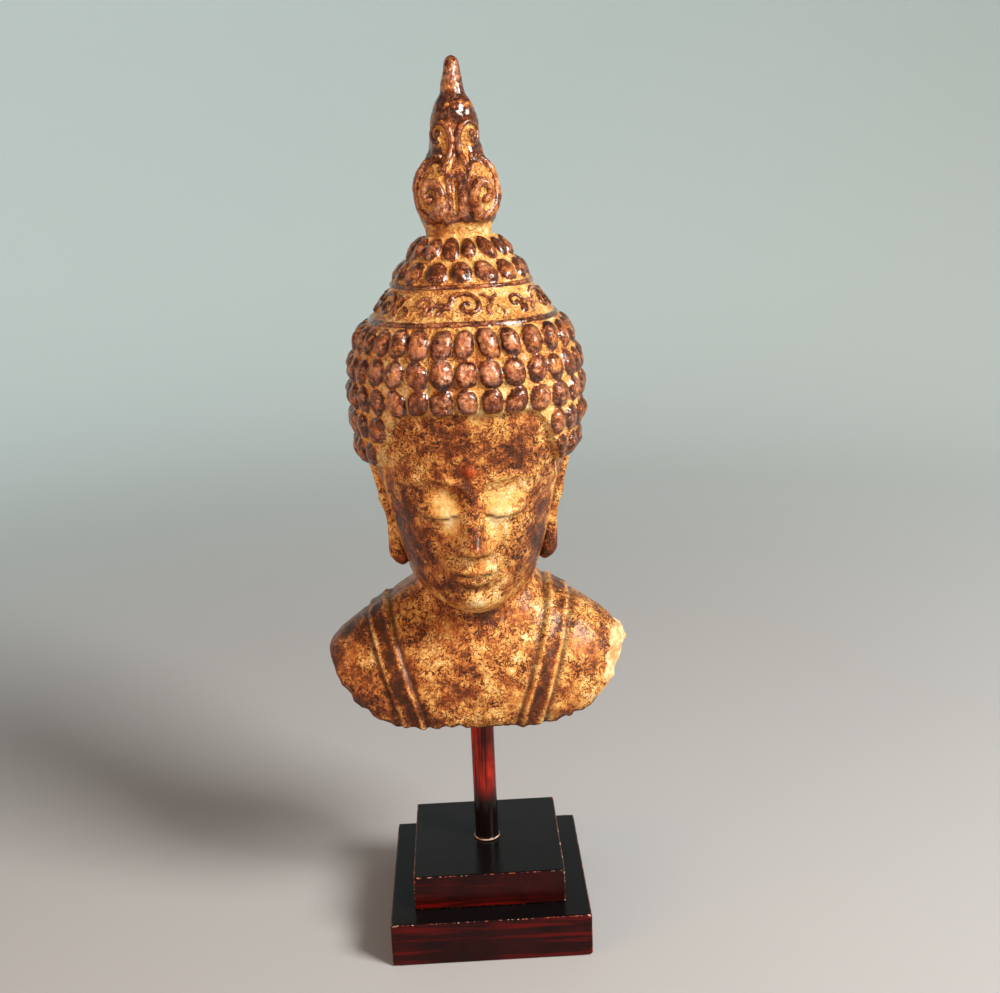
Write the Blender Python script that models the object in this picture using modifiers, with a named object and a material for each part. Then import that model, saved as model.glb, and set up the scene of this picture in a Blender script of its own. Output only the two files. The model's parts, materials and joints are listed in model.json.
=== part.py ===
"""A gilded head and shoulders with a flame finial, held by a rod on a stepped lacquered base.

Run it with: blender --background --python part.py
Units are metres and +Z is up. The origin is the middle of the base's underside, and the face looks along -Y.
"""

import bmesh
import bpy
import numpy as np
from mathutils import Vector

# Driving sizes
BUST_HEIGHT = 0.390
LOWER_BLOCK_SIDE = 0.125
LOWER_BLOCK_HEIGHT = 0.0285
UPPER_BLOCK_SIDE = 0.095
UPPER_BLOCK_HEIGHT = 0.023
BLOCK_EDGE_RADIUS = 0.0009
ROD_DIAMETER = 0.015
ROD_SHOWN = 0.0985
ROD_IN_BUST = 0.040
ROD_FLOOR = 0.0065
ROD_BEAD = 0.0010
ROD_END_CHAMFER = 0.0006
ROD_SIDES = 32
FIT_GAP = 0.0003

# Levels that follow from the driving sizes
UPPER_BLOCK_BOTTOM = LOWER_BLOCK_HEIGHT + FIT_GAP
UPPER_BLOCK_TOP = LOWER_BLOCK_HEIGHT + UPPER_BLOCK_HEIGHT
ROD_BOTTOM = UPPER_BLOCK_BOTTOM + ROD_FLOOR
BUST_BOTTOM = UPPER_BLOCK_TOP + ROD_SHOWN
ROD_TOP = BUST_BOTTOM + ROD_IN_BUST
HOLE_RADIUS = ROD_DIAMETER / 2 + FIT_GAP
HOLE_REACH = 0.01
HOLE_SIDES = 32

# The bust is carved in parts: its height is divided into this many. Sizes below are in parts, angles in radians
# from the front, and levels are heights above the bust's lower edge.
PARTS = 390.0
PART = BUST_HEIGHT / PARTS

# Levels
TIP = 390.0
FINIAL_FOOT = 291.0
BAND_TOP = 264.0
BAND_FOOT = 245.0
HAIRLINE = 197.0
CHIN = 76.0
EAR_TOP = 168.0
NAPE = 117.0
COLLAR = 92.0
UNDERSIDE = 3.0

# The face is three equal thirds, and the mouth is a third of the way down the lowest one
THIRD = (HAIRLINE - CHIN) / 3
BROW = HAIRLINE - THIRD
EYE = BROW - 14.0
NOSE_FOOT = CHIN + THIRD
MOUTH = NOSE_FOOT - THIRD / 3
EYE_OUT = 19.0
EYE_HALF_WIDTH = 12.5
BROW_HALF_SPAN = 46.0
NOSE_HEIGHT = 13.5
MOUTH_HALF_WIDTH = 15.5
LIP_HEIGHT = 6.0
FOREHEAD_MARK_RADIUS = 3.1

# Hair: rows of curls below the band and above it, and the line where they end
CURLS_ROUND = 32
CURL_ROWS = 8
CURL_RISE = 4.2
CURL_TOP = BAND_FOOT - 1.5
CROWN_CURLS_ROUND = 17
CROWN_ROWS = 2
CROWN_RISE = 3.2
CROWN_TOP = FINIAL_FOOT - 1.0
CROWN_CURLS_FOOT = BAND_TOP + 1.5
CURL_HALF_WIDTH = 0.43
CURL_HALF_HEIGHT = 0.46
CURL_CLEARANCE = 5.5
STAGGER_ANGLES = (0.25, 0.9)
HAIR_THICKNESS = 2.4
HAIR_CORNER_ANGLES = (0.52, 1.04)
HAIR_CORNER_DROP = 46.0
TEMPLE_ANGLE = np.radians(56)
TEMPLE_RADIUS = 60.0
NAPE_ANGLES = (1.75, 2.15)

# Carved band
BAND_RADIUS = 48.0
BAND_STRETCH = 1.24
BAND_LINE_RISE = 1.7
BAND_LINE_WIDTH = 1.3
SCROLL_RISE = 1.9
SCROLL_WIDTH = 1.8
SCROLL_UNITS = 6
SCROLL_SHIFT = 6.0

# Finial: scrolls in pairs in front and behind, on a lower and an upper tier
LOBE_ANGLES = (-2.5, -0.64, 0.64, 2.5)
LOWER_LOBE = FINIAL_FOOT + 0.232 * (TIP - FINIAL_FOOT)
LOWER_SCROLL_RISE = 2.4
LOWER_SCROLL_WIDTH = 2.9
UPPER_LOBE = FINIAL_FOOT + 0.566 * (TIP - FINIAL_FOOT)
UPPER_SCROLL_RISE = 1.9
UPPER_SCROLL_WIDTH = 2.2
LOBE_SINK = 1.4

# Broken edge below and at the shoulder on +X
EDGE_ROUGHNESS = 1.5
CHIP_DEPTH = 2.0
CHIP_SPAN = (78.0, 88.0)

# Grid that the bust is worked out on, and the share of its triangles that stays
COLUMNS = 300
FINIAL_ROWS = 60
HEAD_ROWS = 150
SHOULDER_ROWS = 44
UNDERSIDE_ROWS = 8
BUST_TRIANGLES = 8000
NECK_FILLET = 5.0
HEAD_SQUARENESS = 2.3
EAR_COLUMNS = 16
EAR_ROWS = 13

# Sections of the head under its hair: level, half width, depth in front, depth behind
HEAD_SECTIONS = (
    (291, 20.5, 20.5, 20.5),
    (284, 26.0, 26.0, 26.0),
    (276, 32.0, 33.0, 32.5),
    (264, 40.5, 43.0, 42.0),
    (255, 47.0, 50.0, 49.0),
    (245, 54.5, 58.0, 57.5),
    (237, 60.0, 62.5, 63.5),
    (225, 64.5, 66.5, 68.5),
    (208, 66.8, 69.0, 71.5),
    (190, 66.8, 69.2, 72.0),
    (175, 64.5, 68.5, 70.5),
    (160, 60.0, 68.0, 67.5),
    (145, 55.0, 67.5, 63.0),
    (130, 51.0, 66.5, 57.0),
    (115, 47.5, 65.5, 50.0),
    (104, 44.0, 64.5, 45.0),
    (95, 40.0, 63.0, 40.0),
    (88, 35.0, 61.5, 34.0),
    (82, 29.0, 59.0, 26.0),
    (77, 21.0, 53.0, 18.0),
    (73, 11.0, 42.0, 11.0),
    (70, 5.0, 15.0, 5.0),
    (66, 2.0, 2.0, 2.0),
)

# Lofted rings from the neck to the lower edge: share of the way down, half width, depth in front, depth behind,
# level at the side, level in front, level behind, how square the bend to the side is
SHOULDER_SECTIONS = (
    (0.00, 33.5, 29.0, 34.5, 92, 70, 104, 2.0),
    (0.10, 35.5, 30.0, 35.2, 84, 64, 97, 2.0),
    (0.20, 43.5, 32.5, 36.6, 77.5, 57, 89, 2.1),
    (0.32, 58.0, 36.5, 39.0, 69.5, 48, 78, 2.3),
    (0.45, 72.0, 40.5, 41.5, 61.0, 38, 65, 2.7),
    (0.58, 83.0, 43.4, 42.8, 53.5, 27, 50, 3.2),
    (0.70, 89.5, 44.8, 42.8, 47.5, 18, 36, 3.8),
    (0.80, 92.5, 45.0, 42.0, 43.5, 11, 24, 4.2),
    (0.90, 93.5, 44.5, 41.0, 40.0, 5, 15, 4.7),
    (1.00, 92.5, 43.0, 39.5, 37.0, 0, 8, 5.0),
)

# Outline of the finial: share of the way from its foot to its tip, radius
FINIAL_OUTLINE = (
    (1.000, 0.0), (0.990, 2.6), (0.960, 4.6), (0.899, 6.4), (0.828, 8.0), (0.778, 9.8), (0.727, 12.6),
    (0.667, 14.6), (0.586, 15.3), (0.515, 16.2), (0.455, 18.2), (0.384, 21.8), (0.313, 24.4), (0.232, 25.4),
    (0.152, 24.8), (0.081, 22.4), (0.030, 20.4), (0.000, 20.5),
)

# Sections of an ear, which stands nearly on edge from the front: level, centre x, centre y, half thickness,
# half width
EAR_SECTIONS = (
    (168.0, 57.5, -1.0, 3.0, 5.0),
    (164.0, 56.8, -1.0, 4.6, 10.0),
    (157.0, 55.3, -1.5, 5.0, 13.5),
    (147.0, 52.7, -2.5, 5.0, 14.5),
    (137.0, 50.0, -4.0, 5.0, 13.0),
    (127.0, 47.8, -6.0, 5.0, 10.5),
    (118.0, 46.6, -8.0, 5.3, 8.8),
    (110.0, 46.0, -9.5, 6.0, 8.0),
    (103.0, 45.3, -10.5, 6.3, 7.8),
    (98.5, 44.2, -11.0, 4.8, 6.0),
    (96.0, 43.6, -11.0, 2.2, 3.0),
)

# The two straps of the robe: x at the shoulder's ridge and at the lower edge, in front and behind
STRAP_WIDTH = 13.0
STRAP_RISE = 2.2
STRAPS = ((51.5, 29.5, 36.0), (-62.0, -40.0, -44.0))
STRAP_TOP = 72.0


def ease(value, low, high):
    """0 at low and 1 at high, with a smooth S between them. High may be the smaller."""
    share = np.clip((value - low) / (high - low), 0.0, 1.0)
    return share * share * (3.0 - 2.0 * share)


def hill(x, z, at_x, at_z, wide, tall):
    """A round hill of height 1 that falls to about a third at wide and tall from its top."""
    return np.exp(-(((x - at_x) / wide) ** 2) - ((z - at_z) / tall) ** 2)


def smooth_line(table, column, at):
    """The smooth line through a table's points that never overshoots them: cubics with limited slopes."""
    points = np.array(sorted(table), float)
    x, y = points[:, 0], points[:, column]
    step = np.diff(x)
    rise = np.diff(y) / step
    slope = np.zeros(len(x))
    flat = rise[:-1] * rise[1:] <= 0
    mean = 2 * rise[:-1] * rise[1:] / np.where(flat, 1.0, rise[:-1] + rise[1:])
    slope[1:-1] = np.where(flat, 0.0, mean)
    slope[0], slope[-1] = rise[0], rise[-1]
    at = np.clip(at, x[0], x[-1])
    i = np.clip(np.searchsorted(x, at) - 1, 0, len(step) - 1)
    t = (at - x[i]) / step[i]
    start = (1 + 2 * t) * (1 - t) ** 2 * y[i] + t * (1 - t) ** 2 * step[i] * slope[i]
    end = t * t * (3 - 2 * t) * y[i + 1] + t * t * (t - 1) * step[i] * slope[i + 1]
    return start + end


def oval(angle, half_width, front, back, square):
    """Distance from the axis to an oval that may be deeper behind than in front; square 2 is an ellipse."""
    depth = np.where(np.cos(angle) > 0, front, back)
    across = np.abs(np.sin(angle) / half_width) ** square
    along = np.abs(np.cos(angle) / depth) ** square
    return (across + along) ** (-1.0 / square)


def joined(a, b, fillet):
    """The larger of two distances, with a fillet where they meet."""
    return 0.5 * (a + b + np.sqrt((a - b) ** 2 + fillet**2))


def scatter(i, k):
    """A number from 0 to 1 that looks random and is the same each time for the same i and k."""
    wave = np.sin(i * 12.9898 + k * 78.233) * 43758.5453
    return wave - np.floor(wave)


def roughness(x, z):
    """Uneven swells of about 1, for broken edges."""
    slow = np.sin(0.13 * x + 1.3) * np.cos(0.17 * z - 0.7 + 0.11 * x)
    quick = np.sin(0.51 * x - 0.3 * z) * np.cos(0.37 * z + 0.2)
    sharp = np.abs(np.sin(0.33 * x + 0.9)) - 0.6
    return 0.6 * slow + 0.4 * quick + 0.7 * sharp


def face_inset(angle, z):
    """How far inside the face's border a point lies: below the hairline and in front of the temples."""
    turn = np.abs(angle)
    line = HAIRLINE - HAIR_CORNER_DROP * ease(turn, *HAIR_CORNER_ANGLES)
    return np.minimum(line - z, (TEMPLE_ANGLE - turn) * TEMPLE_RADIUS)


def skin_inset(angle, z):
    """How far outside the hair a point lies: on the face, under the ears or on the nape."""
    over_ear = EAR_TOP - 4
    low_line = over_ear + (NAPE - over_ear) * ease(np.abs(angle), *NAPE_ANGLES)
    return np.maximum(face_inset(angle, z), low_line - z)


def beads(angle, down, round_count, row_count, rise, bare):
    """Rows of oval curls: down counts rows from 0, and odd rows are staggered away from the front."""
    row = np.clip(np.floor(down), 0, row_count - 1)
    stagger = 0.5 * (row % 2) * ease(np.abs(angle), *STAGGER_ANGLES)
    count = angle / (2 * np.pi) * round_count - stagger
    column = np.round(count)
    centre = (column + stagger) * 2 * np.pi / round_count
    size = 0.92 + 0.14 * scatter(column % round_count, row)
    across = (count - column) / (CURL_HALF_WIDTH * size)
    along = (down - row - 0.5) / (CURL_HALF_HEIGHT * size)
    dome = np.sqrt(np.clip(1 - across**2 - along**2, 0, 1))
    inside = (down >= 0) & (down < row_count)
    return np.where(inside & ~bare(centre, row), rise * dome, 0.0)


def curls(angle, z):
    """Curls of the hair below the band, and of the crown above it."""
    pitch = (CURL_TOP - NAPE) / CURL_ROWS
    crown_pitch = (CROWN_TOP - CROWN_CURLS_FOOT) / CROWN_ROWS

    def bare(centre, row):
        return skin_inset(centre, CURL_TOP - (row + 0.5) * pitch) > -CURL_CLEARANCE

    def never(centre, row):
        return np.zeros(centre.shape, bool)

    hair = beads(angle, (CURL_TOP - z) / pitch, CURLS_ROUND, CURL_ROWS, CURL_RISE, bare)
    crown = beads(angle, (CROWN_TOP - z) / crown_pitch, CROWN_CURLS_ROUND, CROWN_ROWS, CROWN_RISE, never)
    return hair + crown


def scroll(centre, eye, opened, power, tail, start, turns, squash=1.0):
    """A path that runs in from its tail to the eye of a scroll, as (across, up, share of the full width)."""
    share = np.linspace(0, 1, 44)
    radius = eye + opened * (1 - share) ** power + tail * np.exp(-share / 0.09)
    turn = start + 2 * np.pi * turns * share
    across = centre[0] + squash * radius * np.cos(turn)
    return np.stack([across, centre[1] + radius * np.sin(turn), 1 - 0.3 * share], axis=1)


def sprig(start, end, bow):
    """A short leaf stroke from start to end that bows to one side and is fullest in the middle."""
    share = np.linspace(0, 1, 9)
    start, end = np.array(start), np.array(end)
    side = np.array([start[1] - end[1], end[0] - start[0]]) * bow
    points = start + (end - start) * share[:, None] + side * np.sin(np.pi * share)[:, None]
    return np.column_stack([points, 0.55 + 0.45 * np.sin(np.pi * share)])


def ridge(across, up, path, width):
    """A rounded ridge of height 1 and of this half width along a path."""
    near = np.zeros(across.shape)
    for at_across, at_up, share in path:
        reach = ((across - at_across) ** 2 + (up - at_up) ** 2) / (width * share) ** 2
        near = np.maximum(near, 1 - reach)
    return np.sqrt(near)


def band(angle, z):
    """The carved band: a line above and below, and between them a running scroll with leaf strokes."""
    lines = sum(np.exp(-(((z - line) / BAND_LINE_WIDTH) ** 2)) for line in (BAND_TOP, BAND_FOOT))
    middle = (BAND_TOP + BAND_FOOT) / 2
    reach = np.pi * BAND_RADIUS / SCROLL_UNITS
    across = np.mod(angle * BAND_RADIUS + reach - SCROLL_SHIFT, 2 * reach) - reach
    up = (z - middle) * BAND_STRETCH
    strokes = (
        scroll((1.5, -0.5), 2.2, 7.0, 1.0, 6.0, 2.7, -1.05),
        scroll((-13.5, -3.0), 1.6, 3.6, 1.0, 3.0, 2.2, -1.0),
        scroll((-18.0, 4.5), 1.3, 2.8, 1.0, 5.0, -0.9, 1.0),
        sprig((12.0, -5.0), (15.5, 1.5), 0.2),
        sprig((15.5, 1.5), (20.5, 0.0), -0.2),
        sprig((15.5, 1.5), (15.0, 7.5), 0.2),
        sprig((19.0, -7.0), (23.0, -3.0), 0.25),
        sprig((20.0, 8.0), (24.0, 4.0), -0.2),
    )
    carved = np.zeros(across.shape)
    rows = np.abs(z[:, 0] - middle) < BAND_TOP - middle + SCROLL_WIDTH
    for path in strokes:
        carved[rows] = np.maximum(carved[rows], ridge(across[rows], up[rows], path, SCROLL_WIDTH))
    return BAND_LINE_RISE * lines + SCROLL_RISE * carved


def finial_relief(angle, z, radius):
    """Two tiers of scrolls that wrap the flame, a pair in front and a pair behind, on swelling lobes."""
    relief = np.zeros(z.shape)
    lower = scroll((0.0, LOWER_LOBE), 3.0, 18.5, 1.6, 0.0, 1.75, -1.55, 0.74)
    upper = scroll((0.0, UPPER_LOBE), 2.2, 5.5, 1.0, 13.0, 4.3, -1.2, 0.85)
    for turn in LOBE_ANGLES:
        hand = np.sign(np.sin(2 * turn))
        across = hand * np.angle(np.exp(1j * (angle - turn))) * radius
        relief += 2.0 * hill(across, z, 1.0, LOWER_LOBE, 10.0, 16.0)
        relief += 1.3 * hill(across, z, 0.0, UPPER_LOBE, 6.5, 8.5)
        low_ridge = LOWER_SCROLL_RISE * ridge(across, z, lower, LOWER_SCROLL_WIDTH)
        high_ridge = UPPER_SCROLL_RISE * ridge(across, z, upper, UPPER_SCROLL_WIDTH)
        relief += np.maximum(low_ridge, high_ridge)
    return relief - LOBE_SINK


def nose(x, z):
    """A straight nose: a ridge that grows to the tip, two wings and two nostrils."""
    share = np.clip((BROW - 4 - z) / (BROW - 4 - NOSE_FOOT), 0, 1)
    height = NOSE_HEIGHT * (0.22 + 0.78 * share**1.1) * ease(z, NOSE_FOOT - 3.0, NOSE_FOOT + 3.5)
    half = 6.2 + 2.6 * share
    bridge = height * np.exp(-(np.abs(x / half) ** 2.6)) * ease(z, BROW + 5, BROW - 9)
    tip = 2.6 * hill(x, z, 0.0, NOSE_FOOT + 5.0, 5.5, 5.0)
    wings = 4.6 * hill(np.abs(x), z, 8.0, NOSE_FOOT + 3.6, 3.2, 3.8)
    nostrils = 2.2 * hill(np.abs(x), z, 4.4, NOSE_FOOT - 0.6, 2.0, 1.5)
    return bridge + tip + wings - nostrils


def eyes(x, z):
    """Sockets under arched brows, and lowered lids with a line where they meet."""
    side = np.abs(x)
    off_eye = np.abs(side - EYE_OUT)
    arch = np.sin(np.pi * np.clip((side + 1) / (BROW_HALF_SPAN + 2), 0, 1)) ** 0.8
    brow_line = BROW - 8 + 12 * arch
    brow = 1.4 * np.exp(-(((z - brow_line) / 2.4) ** 2)) * ease(side, BROW_HALF_SPAN - 2, BROW_HALF_SPAN - 10)
    socket = 4.8 * hill(side, z, EYE_OUT - 3, EYE + 3.5, 12.5, 9.5) * ease(z, brow_line + 1.5, brow_line - 3)
    dome = np.clip(1 - (off_eye / (EYE_HALF_WIDTH + 0.5)) ** 2 - ((z - EYE) / 9.6) ** 2, 0, 1)
    ball = 5.4 * dome**0.7
    lid_line = EYE - 3.4 - 2.6 * np.cos(np.clip(off_eye / (EYE_HALF_WIDTH - 0.5), 0, 1) * np.pi / 2)
    along = ease(off_eye, EYE_HALF_WIDTH, EYE_HALF_WIDTH - 2.5)
    gap = 1.6 * np.exp(-(((z - lid_line) / 0.9) ** 2)) * along
    lash = 0.9 * np.exp(-(((z - lid_line - 1.7) / 1.1) ** 2)) * along
    fold = 0.7 * np.exp(-(((z - lid_line - 10.5) / 0.9) ** 2)) * ease(off_eye, 11.5, 8.0)
    return brow - socket + ball + lash - gap - fold


def mouth(x, z):
    """Full lips with a bow above, gently raised corners, and the hollow under the nose."""
    side = np.abs(x)
    share = np.clip(side / MOUTH_HALF_WIDTH, 0, 1)
    part_line = MOUTH + 1.8 * share**2 - 0.6 * np.cos(share * np.pi * 1.5)
    top_line = part_line + LIP_HEIGHT * (1 - share**1.7) - 1.1 * np.exp(-((side / 2.6) ** 2))
    low_share = side / (MOUTH_HALF_WIDTH - 2)
    low_line = part_line - 1.15 * LIP_HEIGHT * np.sqrt(np.clip(1 - low_share**2, 0, 1))
    upper = np.clip((z - part_line) / np.maximum(top_line - part_line, 0.6), 0, 1)
    lower = np.clip((part_line - z) / np.maximum(part_line - low_line, 0.6), 0, 1)
    fade = ease(side, MOUTH_HALF_WIDTH + 0.5, MOUTH_HALF_WIDTH - 4.5)
    lip_up = 2.9 * np.sqrt(np.clip(4 * upper * (1 - upper), 0, 1)) * (0.4 + 0.6 * (1 - upper)) * fade
    lip_low = 3.2 * np.sqrt(np.clip(4 * lower * (1 - lower), 0, 1)) * fade
    muzzle = 4.0 * hill(side, z, 0.0, MOUTH + 2.0, 15.0, 12.0)
    corner = MOUTH_HALF_WIDTH + 1.5
    groove = 1.3 * np.exp(-(((z - part_line) / 0.9) ** 2)) * ease(side, corner, corner - 3)
    philtrum = 0.9 * hill(side, z, 0.0, MOUTH + 9.0, 1.8, 3.2)
    corners = 1.6 * hill(side, z, corner, MOUTH + 1.8, 2.8, 2.8)
    return muzzle + lip_up + lip_low - groove - philtrum - corners


def features(x, z):
    """The whole face in front of the head's own oval."""
    side = np.abs(x)
    cheeks = 2.6 * hill(side, z, 28.0, EYE - 20, 15.0, 14.0)
    chin = 4.4 * hill(side, z, 0.0, CHIN + 8.0, 12.5, 8.0)
    under_lip = 1.8 * hill(side, z, 0.0, MOUTH - 9.6, 11.0, 2.8)
    off_mark = np.hypot(side, z - BROW - 7) / FOREHEAD_MARK_RADIUS
    mark = 1.9 * np.sqrt(np.clip(1 - off_mark**2, 0, 1))
    return nose(x, z) + eyes(x, z) + mouth(x, z) + cheeks + chin - under_lip + mark


def straps(x, y, z):
    """The robe's two straps: raised bands with a fine rim on each edge, over the shoulders and down the back."""
    relief = np.zeros_like(x)
    low = np.clip(1 - z / STRAP_TOP, 0, 1)
    for ridge_x, front_x, back_x in STRAPS:
        foot_x = np.where(y < 0, front_x, back_x)
        centre = ridge_x + (foot_x - ridge_x) * low**1.15
        edge = np.abs(x - centre) - STRAP_WIDTH / 2
        flat = ease(edge, 0.7, -0.7)
        rim = 0.7 * np.exp(-(((edge + 1.3) / 0.9) ** 2))
        groove = 0.8 * np.exp(-(((edge - 1.4) / 1.1) ** 2))
        relief += STRAP_RISE * flat + rim - groove
    return relief


def grid_normals(points):
    """Unit normals of a grid of points, whose rows go down and whose columns go round."""
    down = np.gradient(points, axis=0)
    wrapped = np.concatenate([points[:, -1:], points, points[:, :1]], axis=1)
    across = (wrapped[:, 2:] - wrapped[:, :-2]) / 2
    normal = np.cross(down, across)
    return normal / np.maximum(np.linalg.norm(normal, axis=2, keepdims=True), 1e-9)


def placed(angle, radius, z):
    """Points at a distance from the axis; angle 0 is the front and grows towards +X."""
    return np.stack([radius * np.sin(angle), -radius * np.cos(angle), z + 0 * angle], axis=2)


def finial_rings(angle):
    """The finial from just under its tip to its foot."""
    share = 1 - np.linspace(0, 1, FINIAL_ROWS + 1)[1:, None] ** 1.1 + 0 * angle
    z = FINIAL_FOOT + (TIP - FINIAL_FOOT) * share
    radius = smooth_line(FINIAL_OUTLINE, 1, share)
    points = placed(angle, radius, z)
    relief = finial_relief(angle + 0 * z, z, radius) * ease(z, TIP, TIP - 14)
    return points + grid_normals(points) * relief[..., None]


def head_radius(angle, z):
    """The head's own oval at a level, under its hair."""
    wide, front, back = (smooth_line(HEAD_SECTIONS, i, z) for i in (1, 2, 3))
    return oval(angle, wide, front, back, HEAD_SQUARENESS)


def tilt(angle):
    """How far the neck's rings dip in front and rise behind, as a share of cosine squared."""
    side, front, back = SHOULDER_SECTIONS[0][4:7]
    drop = np.where(np.cos(angle) > 0, front - side, back - side)
    return drop * np.cos(angle) ** 2


def head_rings(angle):
    """Crown, band, hair, face and neck, on rings that tilt to meet the neck."""
    level = np.linspace(FINIAL_FOOT, COLLAR, HEAD_ROWS + 1)[1:-1, None]
    z = level + tilt(angle) * ease(level, EAR_TOP + 7, COLLAR)
    _, neck_wide, neck_front, neck_back = SHOULDER_SECTIONS[0][:4]
    neck = oval(angle, neck_wide, neck_front, neck_back, 2.0) * ease(level, HAIRLINE + 3, EAR_TOP - 18)
    radius = joined(head_radius(angle, z), neck, NECK_FILLET)
    points = placed(angle, radius, z)
    wide_angle = angle + 0 * z
    skin = ease(skin_inset(wide_angle, z), -0.8, 1.2) * ease(z, FINIAL_FOOT - 3, FINIAL_FOOT - 8)
    border = face_inset(wide_angle, z)
    rim = 1.1 * np.exp(-(((border - 0.2) / 1.3) ** 2))
    rim *= ease(z, NAPE - 5, NAPE + 18) * ease(z, HAIRLINE + 3, HAIRLINE - 12)
    above_neck = ease(level, COLLAR, COLLAR + 14)
    relief = curls(wide_angle, z) + band(wide_angle, z) - HAIR_THICKNESS * skin * above_neck + rim
    points = points + grid_normals(points) * relief[..., None]
    front = ease(np.abs(wide_angle), 1.35, 0.95) * ease(border, -2.0, 3.0)
    points[..., 1] -= features(points[..., 0], z) * front
    return points


def shoulder_rings(angle):
    """Neck, shoulders and chest down to the broken lower edge."""
    share = np.linspace(0, 1, SHOULDER_ROWS)[:, None]
    wide, front, back, side_z, front_z, back_z, bend = (
        smooth_line(SHOULDER_SECTIONS, i, share) for i in range(1, 8)
    )
    radius = oval(angle, wide, front, back, 2.0 + 0.5 * share)
    across = np.clip(np.abs(np.sin(angle)) * radius / wide, 0, 1)
    end_z = np.where(np.cos(angle) > 0, front_z, back_z)
    z = side_z + (end_z - side_z) * (1 - across**bend)
    radius = joined(radius, head_radius(angle, z), NECK_FILLET)
    points = placed(angle, radius, z)
    x, y = points[..., 0], points[..., 1]
    relief = straps(x, y, z) * ease(z, COLLAR - 2, COLLAR - 16) * ease(share, 0.04, 0.2)
    broken = ease(share, 0.84, 1.0) * roughness(x * 1.2, y)
    chip = CHIP_DEPTH * ease(x, *CHIP_SPAN) * (0.6 + 0.5 * roughness(1.6 * z, y))
    points = points + grid_normals(points) * (relief - chip + 0.7 * EDGE_ROUGHNESS * broken)[..., None]
    points[..., 2] += EDGE_ROUGHNESS * broken
    return points


def underside_rings(edge):
    """The underside, which rises a little from the broken edge to a flat middle."""
    share = np.linspace(0, 1, UNDERSIDE_ROWS + 1)[1:-1, None, None]
    inward = edge * (1 - share)
    inward[..., 2] = UNDERSIDE + (edge[:, 2] - UNDERSIDE) * (1 - share[..., 0]) ** 4
    return inward


def closed_mesh(name, rings, first, last):
    """A closed mesh from a grid of points whose rows run from the point first to the point last."""
    rows, columns = rings.shape[:2]
    index = np.arange(rows * columns).reshape(rows, columns) + 1
    right = np.roll(index, -1, axis=1)
    quads = np.stack([index[:-1], index[1:], right[1:], right[:-1]], axis=2).reshape(-1, 4)
    cap = np.stack([np.zeros(columns, int), index[0], right[0]], axis=1)
    end = np.stack([np.full(columns, rows * columns + 1), right[-1], index[-1]], axis=1)
    points = np.concatenate([[first], rings.reshape(-1, 3), [last]])
    mesh = bpy.data.meshes.new(name)
    mesh.from_pydata(points.tolist(), [], quads.tolist() + cap.tolist() + end.tolist())
    mesh.update()
    return mesh


def material(name, colour, roughness_value, metallic=0.0):
    """A plain Principled material."""
    made = bpy.data.materials.new(name)
    made.use_nodes = True
    shader = made.node_tree.nodes["Principled BSDF"]
    shader.inputs["Base Color"].default_value = (*colour, 1.0)
    shader.inputs["Roughness"].default_value = roughness_value
    shader.inputs["Metallic"].default_value = metallic
    return made


def add_object(name, mesh, collection, finish=None):
    """A new object from a mesh, in a collection."""
    made = bpy.data.objects.new(name, mesh)
    collection.objects.link(made)
    if finish:
        mesh.materials.append(finish)
    return made


def hide_helper(helper):
    """Keeps a cutter or a joined shape out of renders and out of the build."""
    helper.hide_render = True
    helper.display_type = "WIRE"


def add_ear(name, mirror, collection):
    """One long ear, as a closed loft along its sections, with a hollow on its outer side."""
    share = np.linspace(0, 1, EAR_ROWS)[:, None]
    levels = np.array([row[0] for row in EAR_SECTIONS])
    z = np.interp(share, np.linspace(0, 1, len(levels)), levels)
    cx, cy, thick, wide = (smooth_line(EAR_SECTIONS, i, z) for i in (1, 2, 3, 4))
    turn = np.linspace(0, 2 * np.pi, EAR_COLUMNS, endpoint=False)[None, :]
    across, out = np.cos(turn), np.sin(turn)
    hollow = 2.2 * ease(z, NAPE - 5, NAPE + 5) * ease(z, EAR_TOP - 2, EAR_TOP - 10) * ease(out, 0.6, 1.0)
    x = cx + thick * out - hollow
    y = cy + wide * across
    rings = np.stack([mirror * x, y, z + 0 * turn], axis=2)
    if mirror < 0:
        rings = rings[:, ::-1]
    first = rings[0].mean(axis=0) + (0, 0, 1.2)
    last = rings[-1].mean(axis=0) - (0, 0, 1.0)
    mesh = closed_mesh(name, in_place(rings), in_place(first), in_place(last))
    ear = add_object(name, mesh, collection)
    hide_helper(ear)
    return ear


def in_place(parts):
    """Points in parts of the bust turned into metres where the bust stands."""
    return np.asarray(parts) * PART + (0.0, 0.0, BUST_BOTTOM)


def add_bust(collection, helpers, finish):
    """Finial, hair, face, neck, shoulders and the rod's hole in one solid, joined with both ears."""
    angle = np.linspace(-np.pi, np.pi, COLUMNS, endpoint=False)[None, :]
    shoulders = shoulder_rings(angle)
    rings = np.concatenate([finial_rings(angle), head_rings(angle), shoulders, underside_rings(shoulders[-1])])
    mesh = closed_mesh("bust", in_place(rings), in_place((0.0, 0.0, TIP)), in_place((0.0, 0.0, UNDERSIDE)))
    bust = add_object("bust", mesh, collection, finish)
    thin = bust.modifiers.new("fewer faces", "DECIMATE")
    thin.ratio = BUST_TRIANGLES / (2 * COLUMNS * len(rings))
    for name, mirror in (("ear_right", 1.0), ("ear_left", -1.0)):
        union = bust.modifiers.new(name, "BOOLEAN")
        union.operation = "UNION"
        union.object = add_ear(name, mirror, helpers)
    cut_rod_hole(bust, "bust_hole", BUST_BOTTOM - HOLE_REACH, ROD_TOP + FIT_GAP, helpers)


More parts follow.
